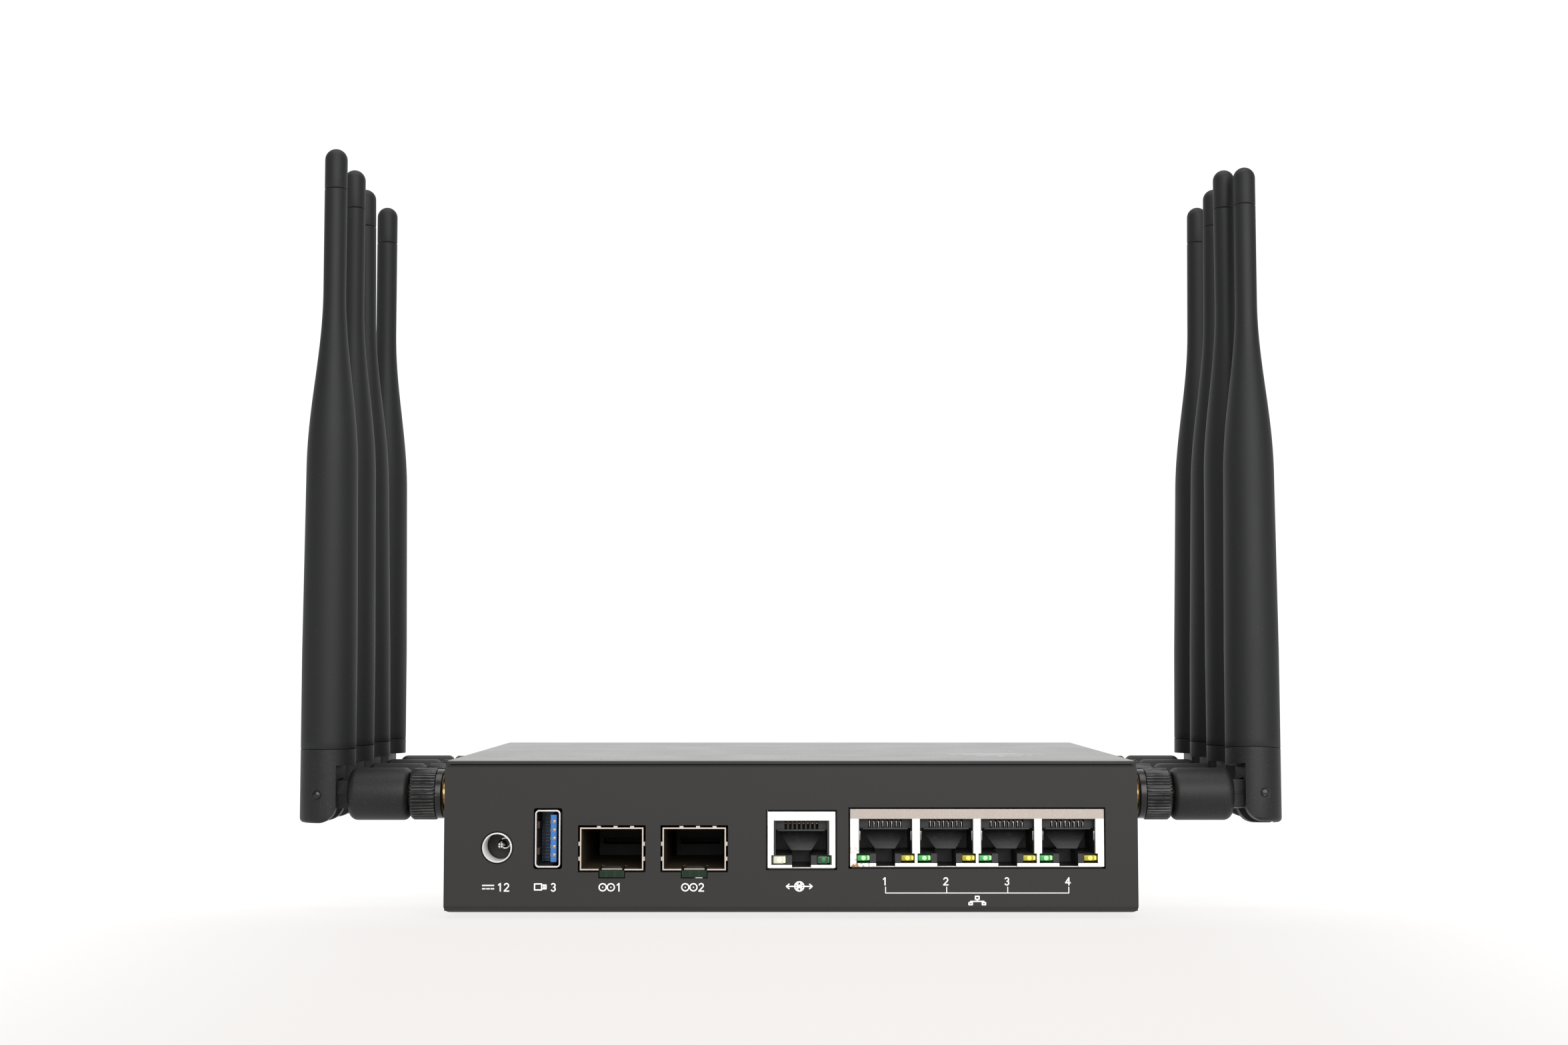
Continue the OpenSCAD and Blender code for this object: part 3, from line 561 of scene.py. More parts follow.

# %% [markdown]
# ## Moulded plastics and rubber
# The antennas are moulded in black plastic with a spark-eroded texture: matt and slightly
# uneven, with tiny light specks that are painted sparkle. The socket inserts are smoother.
# The feet are soft rubber.

# %% Plastics
def moulded(name, color, roughness, grain_scale, grain_mm, specks=0.03, dust=0.2, shine=0.5, wear=0.0):
    plastic = Finish(name, color, roughness, shine=shine)
    grain = plastic.group(grain_group, Scale=grain_scale, Speck_Limit=specks)
    plastic.tint(grain.outputs["Tone"], tuple(c * 1.35 for c in color))
    # Light specks: painted sparkle of the grain
    plastic.tint(grain.outputs["Specks"], (0.11, 0.11, 0.105))
    plastic.roughen(grain.outputs["Tone"], 0.12)
    settled = plastic.group(dust_group, Amount=dust)
    plastic.tint(settled.outputs["Mask"], (0.30, 0.29, 0.28))
    if wear:
        wear_and_highlight = plastic.group(wear_and_highlight_group, Amount=wear, Start=0.54)
        plastic.tint(wear_and_highlight.outputs["Mask"], (0.10, 0.10, 0.10))
    plastic.bump(grain.outputs["Height"], grain_mm)
    return plastic.material


antenna_plastic = moulded("antenna_sleeve_black", (0.0062, 0.0065, 0.0069), 0.52, 1900.0, 0.020,
                          specks=0.003, dust=0.1, shine=0.36)
hinge_plastic = moulded("hinge_black", (0.0058, 0.0058, 0.0059), 0.46, 2400.0, 0.022,
                        specks=0.06, dust=0.0, shine=0.36)
insert_plastic = moulded("socket_insert_black", (0.014, 0.014, 0.014), 0.36, 2600.0, 0.006, specks=0.02)
button_plastic = moulded("button_black", (0.018, 0.018, 0.019), 0.42, 2200.0, 0.010, specks=0.01, wear=0.2)
package_plastic = moulded("component_black", (0.016, 0.016, 0.017), 0.55, 2400.0, 0.012, specks=0.02)
foot_rubber = moulded("foot_rubber", (0.014, 0.014, 0.014), 0.78, 1400.0, 0.030,
                      specks=0.05, dust=0.5, wear=0.25)
lead_sheath = moulded("lead_sheath", (0.020, 0.020, 0.022), 0.45, 2000.0, 0.008, specks=0.01)
print("plastics", antenna_plastic.name, insert_plastic.name)

# %% [markdown]
# ## Metals
# The socket shells are stamped from nickel-plated sheet: bright, with faint rolling lines
# and, on the gang of four, a brownish bloom low on its left end. The fibre cages are a
# warmer alloy. The antenna jacks are gold plated, and the coupling nuts are blackened.

# %% Plated and bare metals
def plated(name, color, roughness, shade=0.75, line_mm=0.004, scratch=0.4):
    metal = Finish(name, color, roughness, metallic=1.0)
    lines = metal.group(drawn_group, Scale=2600.0)
    metal.tint(lines.outputs["Tone"], tuple(c * shade for c in color))
    metal.roughen(lines.outputs["Tone"], 0.16)
    marks = metal.group(scratch_group, Amount=scratch)
    metal.roughen(marks.outputs["Mask"], 0.2)
    metal.bump(lines.outputs["Height"], line_mm)
    return metal


socket_nickel = plated("power_socket_nickel", (0.92, 0.91, 0.89), 0.22).material


def tarnished(name, color, roughness, depth_mm, inner, shade):
    """Plated sheet, bright at its front edge, with painted shade further in."""
    metal = plated(name, color, roughness, shade)
    painted_shade_inwards = metal.band("Y", front_y + 0.15 * MM, front_y + depth_mm * MM)
    metal.tint(painted_shade_inwards, inner)
    metal.roughen(painted_shade_inwards, 0.25)
    return metal.material


# The shells below are darkened inside by painted shade
single_nickel = tarnished("bright_nickel", (0.95, 0.94, 0.92), 0.30, 0.9, (0.05, 0.05, 0.05), 0.92)
usb_steel = tarnished("usb_shell_steel", (0.80, 0.77, 0.74), 0.24, 1.2, (0.085, 0.06, 0.05), 0.85)
cage_metal = tarnished("fibre_cage_metal", (0.66, 0.58, 0.50), 0.30, 2.0, (0.11, 0.085, 0.058), 0.75)
latch_steel = plated("latch_steel", (0.032, 0.032, 0.029), 0.5, shade=0.7).material
jack_gold = plated("jack_gold", (0.80, 0.52, 0.20), 0.22, shade=0.8).material
contact_gold = plated("contact_gold", (0.50, 0.38, 0.22), 0.30, shade=0.7).material
spring_nickel = plated("spring_nickel", (0.80, 0.79, 0.77), 0.25).material
screw_zinc = plated("screw_zinc", (0.60, 0.60, 0.62), 0.32).material
standoff_brass = plated("standoff_brass", (0.66, 0.50, 0.24), 0.34).material
sink_metal = plated("sink_aluminium", (0.74, 0.74, 0.76), 0.36).material
lid_tin = plated("lid_tin", (0.68, 0.68, 0.69), 0.34).material


def stained_nickel():
    low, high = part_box("gang_shield")
    metal = plated("gang_nickel", (0.90, 0.89, 0.86), 0.30, shade=0.9)
    top_band = metal.band("Z", high.z - 2.35 * MM, high.z - 2.05 * MM)
    metal.tint(top_band, (0.40, 0.355, 0.32))
    metal.roughen(top_band, 0.12)
    grains = ramp_between(metal.tree, object_noise(metal.tree, 7000.0, 1.0), 0.58, 0.68)
    metal.tint(metal.both(grains, top_band), (0.60, 0.56, 0.52))
    to_left = metal.band("X", low.x + 8 * MM, low.x + 1 * MM)
    to_floor = metal.band("Z", low.z + 6 * MM, low.z + 2.5 * MM)
    corner = metal.both(to_left, to_floor)
    patches = ramp_between(metal.tree, object_noise(metal.tree, 1500.0, 4.0), 0.48, 0.62)
    metal.tint(metal.both(corner, patches), (0.36, 0.20, 0.09))
    metal.roughen(corner, 0.2)
    # Painted shade on the shell's walls just behind the panel
    metal.tint(metal.band("Y", front_y + 0.15 * MM, front_y + 0.9 * MM), (0.05, 0.05, 0.05))
    return metal.material


gang_nickel = stained_nickel()


def blackened():
    metal = Finish("blackened_nut", (0.0035, 0.0035, 0.0036), 0.20, shine=0.45)
    lines = metal.group(drawn_group, Scale=2200.0)
    metal.tint(lines.outputs["Tone"], (0.006, 0.006, 0.006))
    metal.roughen(lines.outputs["Tone"], 0.15)
    # The edge mask paints a highlight on the rib crests, where the light would catch them
    wear_and_highlight = metal.group(wear_and_highlight_group, Amount=0.45, Start=0.53)
    metal.tint(wear_and_highlight.outputs["Mask"], (0.15, 0.145, 0.14))
    metal.bump(lines.outputs["Height"], 0.004)
    return metal.material


nut_black = blackened()
print("metals", gang_nickel.name, nut_black.name)

# %% [markdown]
# ## Board, lamps and ink
# The board shows as a dark green edge under the fibre cages. The port lamps are clear light
# pipes tinted by the lamps behind them, so they glow a little. The markings are white ink.

# %% Board finish
def board_finish():
    board = Finish("board_green", (0.004, 0.013, 0.006), 0.45, shine=0.25)
    grain = board.group(grain_group, Scale=1500.0, Speck_Limit=0.03)
    board.tint(grain.outputs["Tone"], (0.007, 0.022, 0.010))
    tracks = board.tree.nodes.new("ShaderNodeTexBrick")
    tracks.inputs["Scale"].default_value = 260.0
    tracks.inputs["Mortar Size"].default_value = 0.06
    board.tree.links.new(object_place(board.tree), tracks.inputs["Vector"])
    board.tint(board.both(tracks.outputs["Fac"], 0.6), (0.010, 0.034, 0.015))
    board.bump(tracks.outputs["Fac"], 0.01)
    return board.material


board_green = board_finish()


# %% Lamp and ink finishes
def lamp(name, color, glow):
    lens = Finish(name, color, 0.22)
    grain = lens.group(grain_group, Scale=3000.0, Speck_Limit=0.0)
    lens.tint(grain.outputs["Tone"], tuple(min(1.0, c * 1.3) for c in color))
    lens.shader.inputs["Emission Color"].default_value = (*color, 1)
    lens.shader.inputs["Emission Strength"].default_value = glow
    lens.bump(grain.outputs["Height"], 0.01)
    return lens.material


lamp_green = lamp("lamp_green", (0.04, 0.30, 0.07), 0.25)
lamp_green_tip = lamp("lamp_green_tip", (0.34, 0.82, 0.30), 0.6)
lamp_yellow = lamp("lamp_yellow", (0.32, 0.28, 0.02), 0.25)
lamp_yellow_tip = lamp("lamp_yellow_tip", (0.78, 0.72, 0.10), 0.5)
lamp_pale = lamp("lamp_pale", (0.50, 0.50, 0.38), 0.3)
lamp_pale_tip = lamp("lamp_pale_tip", (0.85, 0.84, 0.50), 0.5)
lamp_dark = lamp("lamp_dark_green", (0.015, 0.06, 0.025), 0.08)
lamp_dark_tip = lamp("lamp_dark_green_tip", (0.03, 0.16, 0.05), 0.15)
lamp_clear = lamp("lamp_clear", (0.55, 0.66, 0.55), 0.05)


def ink(name, color):
    paint = Finish(name, color, 0.55)
    grain = paint.group(grain_group, Scale=2600.0, Speck_Limit=0.05)
    paint.tint(grain.outputs["Specks"], tuple(c * 0.6 for c in color))
    paint.tint(grain.outputs["Tone"], tuple(c * 0.9 for c in color))
    paint.bump(grain.outputs["Height"], 0.004)
    return paint.material


label_ink = ink("label_ink", (0.86, 0.86, 0.85))
mark_ink = ink("mark_ink", (0.55, 0.55, 0.56))
print("lamps and inks ready")

# %% [markdown]
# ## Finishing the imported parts
# These parts keep their exact CAD shape. Welding joins the triangles into one skin, a
# planar clean-up merges the flat ones, and a small bevel gives every folded, stamped or
# moulded edge the radius that catches the light.

# %% Give each kept node its finish
def finish_node(node, material, edge_mm=0.0, flatten=True):
    """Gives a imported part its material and, where asked, rounded edges."""
    piece = bpy.data.objects[node]
    piece.data.materials.clear()
    piece.data.materials.append(material)
    if edge_mm:
        weld = piece.modifiers.new("weld", "WELD")
        weld.merge_threshold = 0.002 * MM
        if flatten:
            flat = piece.modifiers.new("flatten", "DECIMATE")
            flat.decimate_type = "DISSOLVE"
            flat.angle_limit = math.radians(0.5)
        round_edges(piece, edge_mm * MM, angle=35).harden_normals = True


kept = {
    "base_chassis": (chassis_paint, 0.15), "top_cover": (cover_paint, 0.18),
    "rubber_feet": (foot_rubber, 0.2), "cover_screws": (screw_zinc, 0.05),
    "main_board": (board_green, 0.05), "board_standoffs": (standoff_brass, 0.05),
    "board_screws": (screw_zinc, 0.05), "board_components": (package_plastic, 0.08),
    "heat_sink": (sink_metal, 0.1), "radio_shields": (lid_tin, 0.08),
    "antenna_leads": (lead_sheath, 0.0), "dc_jack": (insert_plastic, 0.1),
    "usb_shell": (usb_steel, 0.06),
    "fibre_cages": (cage_metal, 0.05), "fibre_connectors": (package_plastic, 0.08),
    "button_switches": (package_plastic, 0.08), "power_button": (button_plastic, 0.25),
    "reset_button": (button_plastic, 0.15), "status_lamps": (lamp_clear, 0.1),
    "single_port_shield": (single_nickel, 0.06), "single_port_housing": (insert_plastic, 0.06),
    "gang_shield": (gang_nickel, 0.06), "gang_housing": (insert_plastic, 0.06),
    "port_contacts": (contact_gold, 0.04), "antenna_jacks": (jack_gold, 0.05),
}
# Parts whose flat faces are full of openings keep their triangles
PIERCED = ("single_port_housing", "gang_housing", "antenna_jacks")
for node, (material, edge_mm) in kept.items():
    finish_node(node, material, edge_mm, flatten=node not in PIERCED)
print("finished", len(kept), "packed parts")

# %% [markdown]
# ## Coupling nuts
# Each antenna screws on with a ribbed nut: turned from bar, knurled straight along its
# length, chamfered at the barrel end, with a plain lip and a countersunk mouth on the side
# of the case. The ribs are rounded ridges, so the light breaks into narrow lines on them.

# %% Ribbed nut
RIBS = 44
RIB_DEPTH = 0.35 * MM
NUT_LIP = 1.8 * MM
MOUTH_R = 4.4 * MM
NUT_BORE_R = 3.25 * MM
COLLAR_HOLE_R = 2.65 * MM
STEPS_PER_RIB = 8


def rib_height(angle):
    """1 on a rib's crest and 0 in the root between two ribs."""
    phase = angle * RIBS / (2 * math.pi) % 1
    away = abs(phase - 0.5) * 2
    t = min(1, max(0, (0.82 - away) / 0.5))
    return t * t * (3 - 2 * t)


def nut_mesh():
    x0, x1 = nut_low.x, nut_high.x
    root = nut_r - RIB_DEPTH
    lip_r = nut_r - 0.3 * MM
    outline = [(NUT_BORE_R, x0 + MOUTH_R - NUT_BORE_R), (MOUTH_R, x0), (lip_r - 0.6 * MM, x0)]
    outline += arc(lip_r - 0.45 * MM, x0 + 0.5 * MM, 0.45 * MM, -70, 0, 4)
    outline += [(lip_r, x0 + NUT_LIP - 0.15 * MM), (lip_r - 0.15 * MM, x0 + NUT_LIP)]
    ribbed_from = len(outline)
    outline += [(root, x0 + NUT_LIP + 0.02 * MM), (nut_r - 0.1 * MM, x0 + NUT_LIP + 0.05 * MM)]
    outline += [(nut_r, x0 + NUT_LIP + 0.25 * MM), (nut_r, (x0 + x1) / 2), (nut_r, x1 - 0.8 * MM)]
    outline += [(nut_r - 0.35 * MM, x1 - 0.3 * MM), (nut_r - 0.7 * MM, x1 - 0.05 * MM)]
    outline += [(nut_r - 0.9 * MM, x1), (COLLAR_HOLE_R, x1), (COLLAR_HOLE_R, x1 - 1 * MM)]
    outline += [(NUT_BORE_R, x1 - 1 * MM), (NUT_BORE_R, x0 + MOUTH_R - NUT_BORE_R)]

    def ribbed(angle, k):
        radius = outline[k][0]
        if k < ribbed_from or radius <= root:
            return 1
        return min(radius, root + RIB_DEPTH * rib_height(angle)) / radius

    return lathe("coupling_nut", outline, RIBS * STEPS_PER_RIB, "X", ribbed)


antenna_pieces("nut", nut_mesh(), "coupling_nut", nut_black, "coupling_nut")

# %% [markdown]
# ## Swivel barrels
# The barrel turns on the nut's collar and carries the hinge tab. It is moulded in one piece
# with the tab, with a soft outer shoulder, and the mould's parting line runs along the tab's
# narrow side. A gold stem passes through the nut, and its pin enters the jack.

# %% Barrel with its tab, and the stem
TAB_T = 6.4 * MM
PIN_R = 1 * MM
BARREL_GAP = 0.3 * MM
BARREL_LENGTH = 14.3 * MM
STEM_R = 2.55 * MM
barrel_x0 = nut_high.x + BARREL_GAP
barrel_x1 = barrel_x0 + BARREL_LENGTH
tab_half = barrel_high.x - pin_x
FLAT_INSET = 3 * MM
flat_x = tube_x - FLAT_INSET


# Turns what was made along Z so that it runs along Y
ALONG_Y = Matrix.Rotation(math.radians(-90), 4, "X")


def rod_along_y(name, x, z, y0, y1, radius, segments=48):
    rod = lathe(name, [(0, y0), (radius, y0), (radius, y1), (0, y1)], segments, "Z")
    rod.transform(Matrix.Translation((x, 0, z)) @ ALONG_Y)
    return rod


def barrel_mesh():
    inner, outer = 1.4 * MM, 2 * MM
    outline = [(0, barrel_x0)] + arc(barrel_r - inner, barrel_x0 + inner, inner, -90, 0)
    outline += [(barrel_r, barrel_x0 + 5 * MM)]
    outline += arc(barrel_r - outer, barrel_x1 - outer, outer, 0, 90, 8) + [(0, barrel_x1)]
    body = lathe("barrel", outline, 96)
    start = barrel_x1 - 1 * MM
    tab = [(start, -tab_half)] + arc(pin_x, 0, tab_half, -90, 90, 24) + [(start, tab_half)]
    tab = prism("tab", tab, -TAB_T / 2, TAB_T / 2)
    seam = block("seam", (start, -TAB_T / 2 - 0.1 * MM, -0.2 * MM), (flat_x, TAB_T / 2 + 0.1 * MM, 0.2 * MM))
    hole = rod_along_y("hole", pin_x, 0, -TAB_T, TAB_T, PIN_R + 0.05 * MM)
    bore = lathe("bore", [(0, barrel_x0 - MM), (STEM_R + 0.05 * MM, barrel_x0 - MM),
                          (STEM_R + 0.05 * MM, barrel_x0 + 3.4 * MM), (0, barrel_x0 + 3.4 * MM)], 48)
    return worked(body, cutters=[hole, bore], joins=[tab, seam], edge=0.22 * MM, angle=38)


def stem_mesh():
    x0 = barrel_low.x
    wide = NUT_BORE_R - 0.1 * MM
    step = nut_high.x - 1.1 * MM
    return lathe("stem", [(0.6 * MM, x0), (2.1 * MM, x0), (2.2 * MM, x0 + 0.1 * MM),
                          (2.2 * MM, x0 + 3.1 * MM), (wide, x0 + 3.1 * MM), (wide, step), (STEM_R, step),
                          (STEM_R, barrel_x0 + 3.3 * MM), (0, barrel_x0 + 3.3 * MM)], 48)


antenna_pieces("barrel", barrel_mesh(), "swivel_barrel", hinge_plastic, "swivel_barrel")
antenna_pieces("stem", stem_mesh(), "swivel_barrel", jack_gold, "swivel_barrel")

# %% [markdown]
# ## Folding bases
# The antenna's lower end is a fork. Above the barrel it is as round as the sleeve. Beside
# the barrel it is flat, with a round lower corner for clearance as the antenna folds, and it
# is slotted for the tab. The domed ends of the blackened pin sit in shallow recesses.

# %% Fork and pin
BASE_EDGE = 1 * MM
FLAT_TOP = 6.9 * MM
CORNER_R = 4.2 * MM
SLOT_HALF = TAB_T / 2 + 0.25 * MM
SLOT_REACH = tab_half + 0.35 * MM
RECESS_R = 1.4 * MM
base_drop = axis_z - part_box("folding_base_1")[0].z
base_rise = whip_low.z - axis_z - 0.05 * MM
right_x = tube_x + tube_r + MM
cheek = math.sqrt(tube_r ** 2 - (pin_x - tube_x) ** 2)


def base_mesh():
    outline = [(0, -base_drop)] + arc(tube_r - BASE_EDGE, BASE_EDGE - base_drop, BASE_EDGE, -90, 0)
    outline += [(tube_r, 0), (tube_r, base_rise / 2), (tube_r, base_rise), (0, base_rise)]
    body = lathe("base", outline, 128, "Z")
    body.transform(Matrix.Translation((tube_x, 0, 0)))
    side = [(right_x, base_rise + MM), (right_x, -base_drop - MM), (flat_x + CORNER_R, -base_drop - MM)]
    side += arc(flat_x + CORNER_R, CORNER_R - base_drop, CORNER_R, -90, -180, 10)
    side += [(flat_x, FLAT_TOP), (tube_x - tube_r - MM, FLAT_TOP), (tube_x - tube_r - MM, base_rise + MM)]
    side = prism("side", side, -2 * tube_r, 2 * tube_r)
    far = 20 * MM
    slot = arc(pin_x, 0, SLOT_REACH, 90, 0, 12)
    slot += [(pin_x + SLOT_REACH, -far), (pin_x - far, -far), (pin_x - far, SLOT_REACH)]
    slot = prism("slot", slot, -SLOT_HALF, SLOT_HALF)
    hole = rod_along_y("hole", pin_x, 0, -2 * tube_r, 2 * tube_r, PIN_R + 0.02 * MM)
    recesses = [rod_along_y("recess", pin_x, 0, s * (cheek + 0.6 * MM) - MM, s * (cheek + 0.6 * MM) + MM,
                            RECESS_R) for s in (-1, 1)]
    return worked(body, cutters=[slot, hole] + recesses, keeps=[side], edge=0.22 * MM, angle=38)


def pin_mesh():
    dome = 0.45 * MM
    outline = [(0, -cheek)]
    outline += [(PIN_R * math.sin(t), -cheek + dome * (1 - math.cos(t))) for t in (0.5, 1.0, math.pi / 2)]
    outline += [(r, -y) for r, y in outline[::-1]]
    pin = lathe("pin", outline, 40, "Z")
    pin.transform(Matrix.Translation((pin_x, 0, 0)) @ ALONG_Y)
    return pin


antenna_pieces("fork", base_mesh(), "antenna", hinge_plastic, "folding_base")
antenna_pieces("pin", pin_mesh(), "antenna", nut_black, "folding_base")

# %% [markdown]
# ## Antenna tubes
# The sleeve is moulded as a long hollow stick. It keeps its width for a third of its height,
# tapers very slightly, then draws in over a smooth shoulder to a thin neck. A separate cap
# with a rounded tip closes it, with a fine groove at the joint. Inside stands the radiator.

# %% Sleeve, cap and radiator
STRAIGHT_TO = 34 * MM
SHOULDER_FROM = 77 * MM
SHOULDER_TO = 121 * MM
NECK_R = 2.7 * MM
WAIST_R = tube_r - 0.4 * MM
CAP_LENGTH = 9.7 * MM
tip_z = whip_high.z - axis_z
cap_z = tip_z - CAP_LENGTH


def tube_radius(z):
    if z < STRAIGHT_TO:
        return tube_r
    if z < SHOULDER_FROM:
        return tube_r - (tube_r - WAIST_R) * (z - STRAIGHT_TO) / (SHOULDER_FROM - STRAIGHT_TO)
    if z < SHOULDER_TO:
        turn = math.pi * (z - SHOULDER_FROM) / (SHOULDER_TO - SHOULDER_FROM)
        return NECK_R + (WAIST_R - NECK_R) * (1 + math.cos(turn)) / 2
    return NECK_R


def on_tube_axis(mesh):
    mesh.transform(Matrix.Translation((tube_x, 0, 0)))
    return mesh


def sleeve_mesh():
    low = base_rise + 0.05 * MM
    outline = [(0, low), (tube_r - 0.25 * MM, low), (tube_r - 0.08 * MM, low + 0.08 * MM)]
    outline += [(tube_r, low + 0.25 * MM)]
    steps = 70
    for k in range(1, steps):
        z = low + (cap_z - 0.5 * MM - low) * k / steps
        outline.append((tube_radius(z), z))
    outline += [(NECK_R, cap_z - 0.4 * MM), (NECK_R - 0.12 * MM, cap_z - 0.26 * MM)]
    outline += [(NECK_R - 0.3 * MM, cap_z - 0.2 * MM), (0, cap_z - 0.2 * MM)]
    return on_tube_axis(lathe("sleeve", outline, 96, "Z"))


def cap_mesh():
    low = cap_z - 0.17 * MM
    outline = [(0, low), (NECK_R - 0.3 * MM, low)]
    outline += arc(NECK_R - 0.3 * MM, cap_z + 0.1 * MM, 0.3 * MM, -90, 0, 3)
    outline += [(NECK_R, cap_z + 3 * MM), (NECK_R, cap_z + 6 * MM)]
    outline += arc(0, tip_z - NECK_R, NECK_R, 0, 81, 9) + [(0, tip_z)]
    return on_tube_axis(lathe("cap", outline, 64, "Z"))


def radiator_mesh():
    low = base_rise + 8 * MM
    wide_to, thin_from = SHOULDER_FROM - 6 * MM, SHOULDER_FROM - 4 * MM
    outline = [(0, low), (2.2 * MM, low), (2.3 * MM, low + 0.1 * MM), (2.3 * MM, wide_to),
               (0.7 * MM, thin_from), (0.7 * MM, cap_z - 8 * MM), (0, cap_z - 8 * MM)]
    return on_tube_axis(lathe("radiator", outline, 32, "Z"))


antenna_pieces("sleeve", sleeve_mesh(), "antenna", antenna_plastic, "whip")
antenna_pieces("tip_cap", cap_mesh(), "antenna", antenna_plastic, "whip")
antenna_pieces("radiator", radiator_mesh(), "antenna", jack_gold, "whip")

# %% [markdown]
# ## Port lamps
# Each network port has two light pipes in its lower corners. A pipe is a clear bar with a
# round lens in the middle and frosted ends, so it glows brightest there. The gang shows
# green on the left and yellow on the right of every port, and the single port pale and dark.

# %% Light pipes
LAMP_OFFSET = 5.05 * MM
LAMP_HALF = 1.4 * MM
PORT_PITCH = 13.97 * MM
PORTS = 4
panel_y = front_y
single_low, single_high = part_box("single_port_shield")
gang_low, gang_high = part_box("gang_shield")
single_x = (single_low.x + single_high.x) / 2
gang_x = (gang_low.x + gang_high.x) / 2
gang_ports = [gang_x + (k - (PORTS - 1) / 2) * PORT_PITCH for k in range(PORTS)]
single_lamp_z = single_low.z + 1.8 * MM
gang_lamp_z = gang_low.z + 1.9 * MM


def joined(name, meshes):
    bm = bmesh.new()
    for mesh in meshes:
        bm.from_mesh(mesh)
        bpy.data.meshes.remove(mesh)
    return smooth(mesh_from(bm, name, outward=False))


def lens(x, z, radius, front):
    depth, foot = radius / 4, 0.5 * MM
    dome = [(radius * math.sin(t), -depth * math.cos(t)) for t in (0, 0.4, 0.8, 1.2)]
    dome = lathe("dome", dome + [(radius, 0), (radius, foot), (0, foot)], 32, "Z")
    dome.transform(Matrix.Translation((x, front, z)) @ ALONG_Y)
    return dome


def port_lamp(name, x, z, half_h, body_finish, tip_finish):
    front = panel_y + 0.45 * MM
    back = panel_y + 2.9 * MM
    bar = block("bar", (x - LAMP_HALF, front, z - half_h),
                (x + LAMP_HALF - 0.5 * MM, back, z + half_h), 0.1 * MM)
    add_piece(name, bar, "case", body_finish, ["port_lights"])
    tip = block("tip", (x + LAMP_HALF - 0.48 * MM, front - 0.02 * MM, z - half_h + 0.12 * MM),
                (x + LAMP_HALF, back, z + half_h - 0.12 * MM), 0.1 * MM)
    clear = joined("lens", [tip, lens(x, z, 0.52 * MM, front + 0.02 * MM)])
    add_piece(f"{name}_lens", clear, "case", tip_finish, ["port_lights"])


for k, x in enumerate(gang_ports, 1):
    port_lamp(f"lamp_left_{k}", x - LAMP_OFFSET, gang_lamp_z, 0.6 * MM, lamp_green, lamp_green_tip)
    port_lamp(f"lamp_right_{k}", x + LAMP_OFFSET, gang_lamp_z, 0.6 * MM, lamp_yellow, lamp_yellow_tip)
port_lamp("lamp_single_left", single_x - LAMP_OFFSET, single_lamp_z, 0.85 * MM, lamp_pale, lamp_pale_tip)
port_lamp("lamp_single_right", single_x + LAMP_OFFSET, single_lamp_z, 0.85 * MM, lamp_dark, lamp_dark_tip)
print("port lamps ready")

# %% [markdown]
# ## Inside the network ports
# Under the comb that guides the contacts runs a thin ledge, and behind it a sloping guide
# narrows towards the plug's latch. Small nickel fingers grip the plug from both sides, and a
# folded lip closes the shell's lower edge under the latch notch.

# %% Ledges, guides, fingers and lips
CONTACT_PITCH = 1.02 * MM
WIRE_HALF = 0.06 * MM
LATCH_HALF = 2.13 * MM


def port_inside(name, x, top, base, half, wires):
    """Pieces inside one port. top and base are the opening's top and the shell's lower edge."""
    ledge_half = half - 0.9 * MM
    ledge = block("ledge", (x - ledge_half, panel_y + 0.9 * MM, top - 2.5 * MM),
                  (x + ledge_half, panel_y + 1.9 * MM, top - 2.15 * MM), 0.06 * MM)
    upper, lower, wide, narrow = top - 3.3 * MM, top - 7.0 * MM, 5.0 * MM, 2.3 * MM
    guide = prism("guide", [(x - wide, upper), (x + wide, upper), (x + narrow, lower), (x - narrow, lower)],
                  0, 0.3 * MM)
    for vertex in guide.vertices:
        vertex.co.y += panel_y + 2.5 * MM + 1.2 * (vertex.co.z - lower)
    add_piece(f"{name}_ledge", ledge, "case", insert_plastic, ())
    add_piece(f"{name}_guide", worked(guide, edge=0.05 * MM), "case", guide_plastic_painted_sheen, ())
    sides = (x - half + 0.15 * MM, x + half - 0.15 * MM)
    fingers = [block("finger", (middle - 0.15 * MM, panel_y + 0.05 * MM, top - 4.9 * MM),
                     (middle + 0.15 * MM, panel_y + 1.2 * MM, top - 2.8 * MM), 0.05 * MM) for middle in sides]
    lip = block("lip", (x - LATCH_HALF, panel_y - 0.25 * MM, base - 0.02 * MM),
                (x + LATCH_HALF, panel_y, base + 0.12 * MM), 0.03 * MM)
    add_piece(f"{name}_fingers", joined("fingers", fingers + [lip]), "case", spring_nickel, ())
    if wires:
        bent = []
        for k in range(8):
            wire_x = x + (k - 3.5) * CONTACT_PITCH
            foot, head = top - (2.0 + 0.12 * (k % 3)) * MM, top - (0.5 + 0.2 * (k * 5 % 3)) * MM
            bent.append(block("wire", (wire_x - WIRE_HALF, panel_y + 1.5 * MM, foot),
                              (wire_x + WIRE_HALF, panel_y + 1.7 * MM, head), 0.04 * MM))
        add_piece(f"{name}_wires", joined("wires", bent), "case", spring_nickel, ())


# The guide is a lighter copy of the insert's black plastic with many light specks, a painted sheen that makes
# it show
guide_plastic_painted_sheen = moulded("guide_black_painted_sheen", (0.030, 0.030, 0.031), 0.42, 2600.0, 0.02, specks=0.10, shine=0.6)
port_inside("single_port", single_x, single_high.z - 2.0 * MM, single_low.z, 6.35 * MM, False)
for k, x in enumerate(gang_ports, 1):
    port_inside(f"gang_port_{k}", x, gang_high.z - 2.2 * MM, gang_low.z, 6.1 * MM, True)
print("network ports furnished")
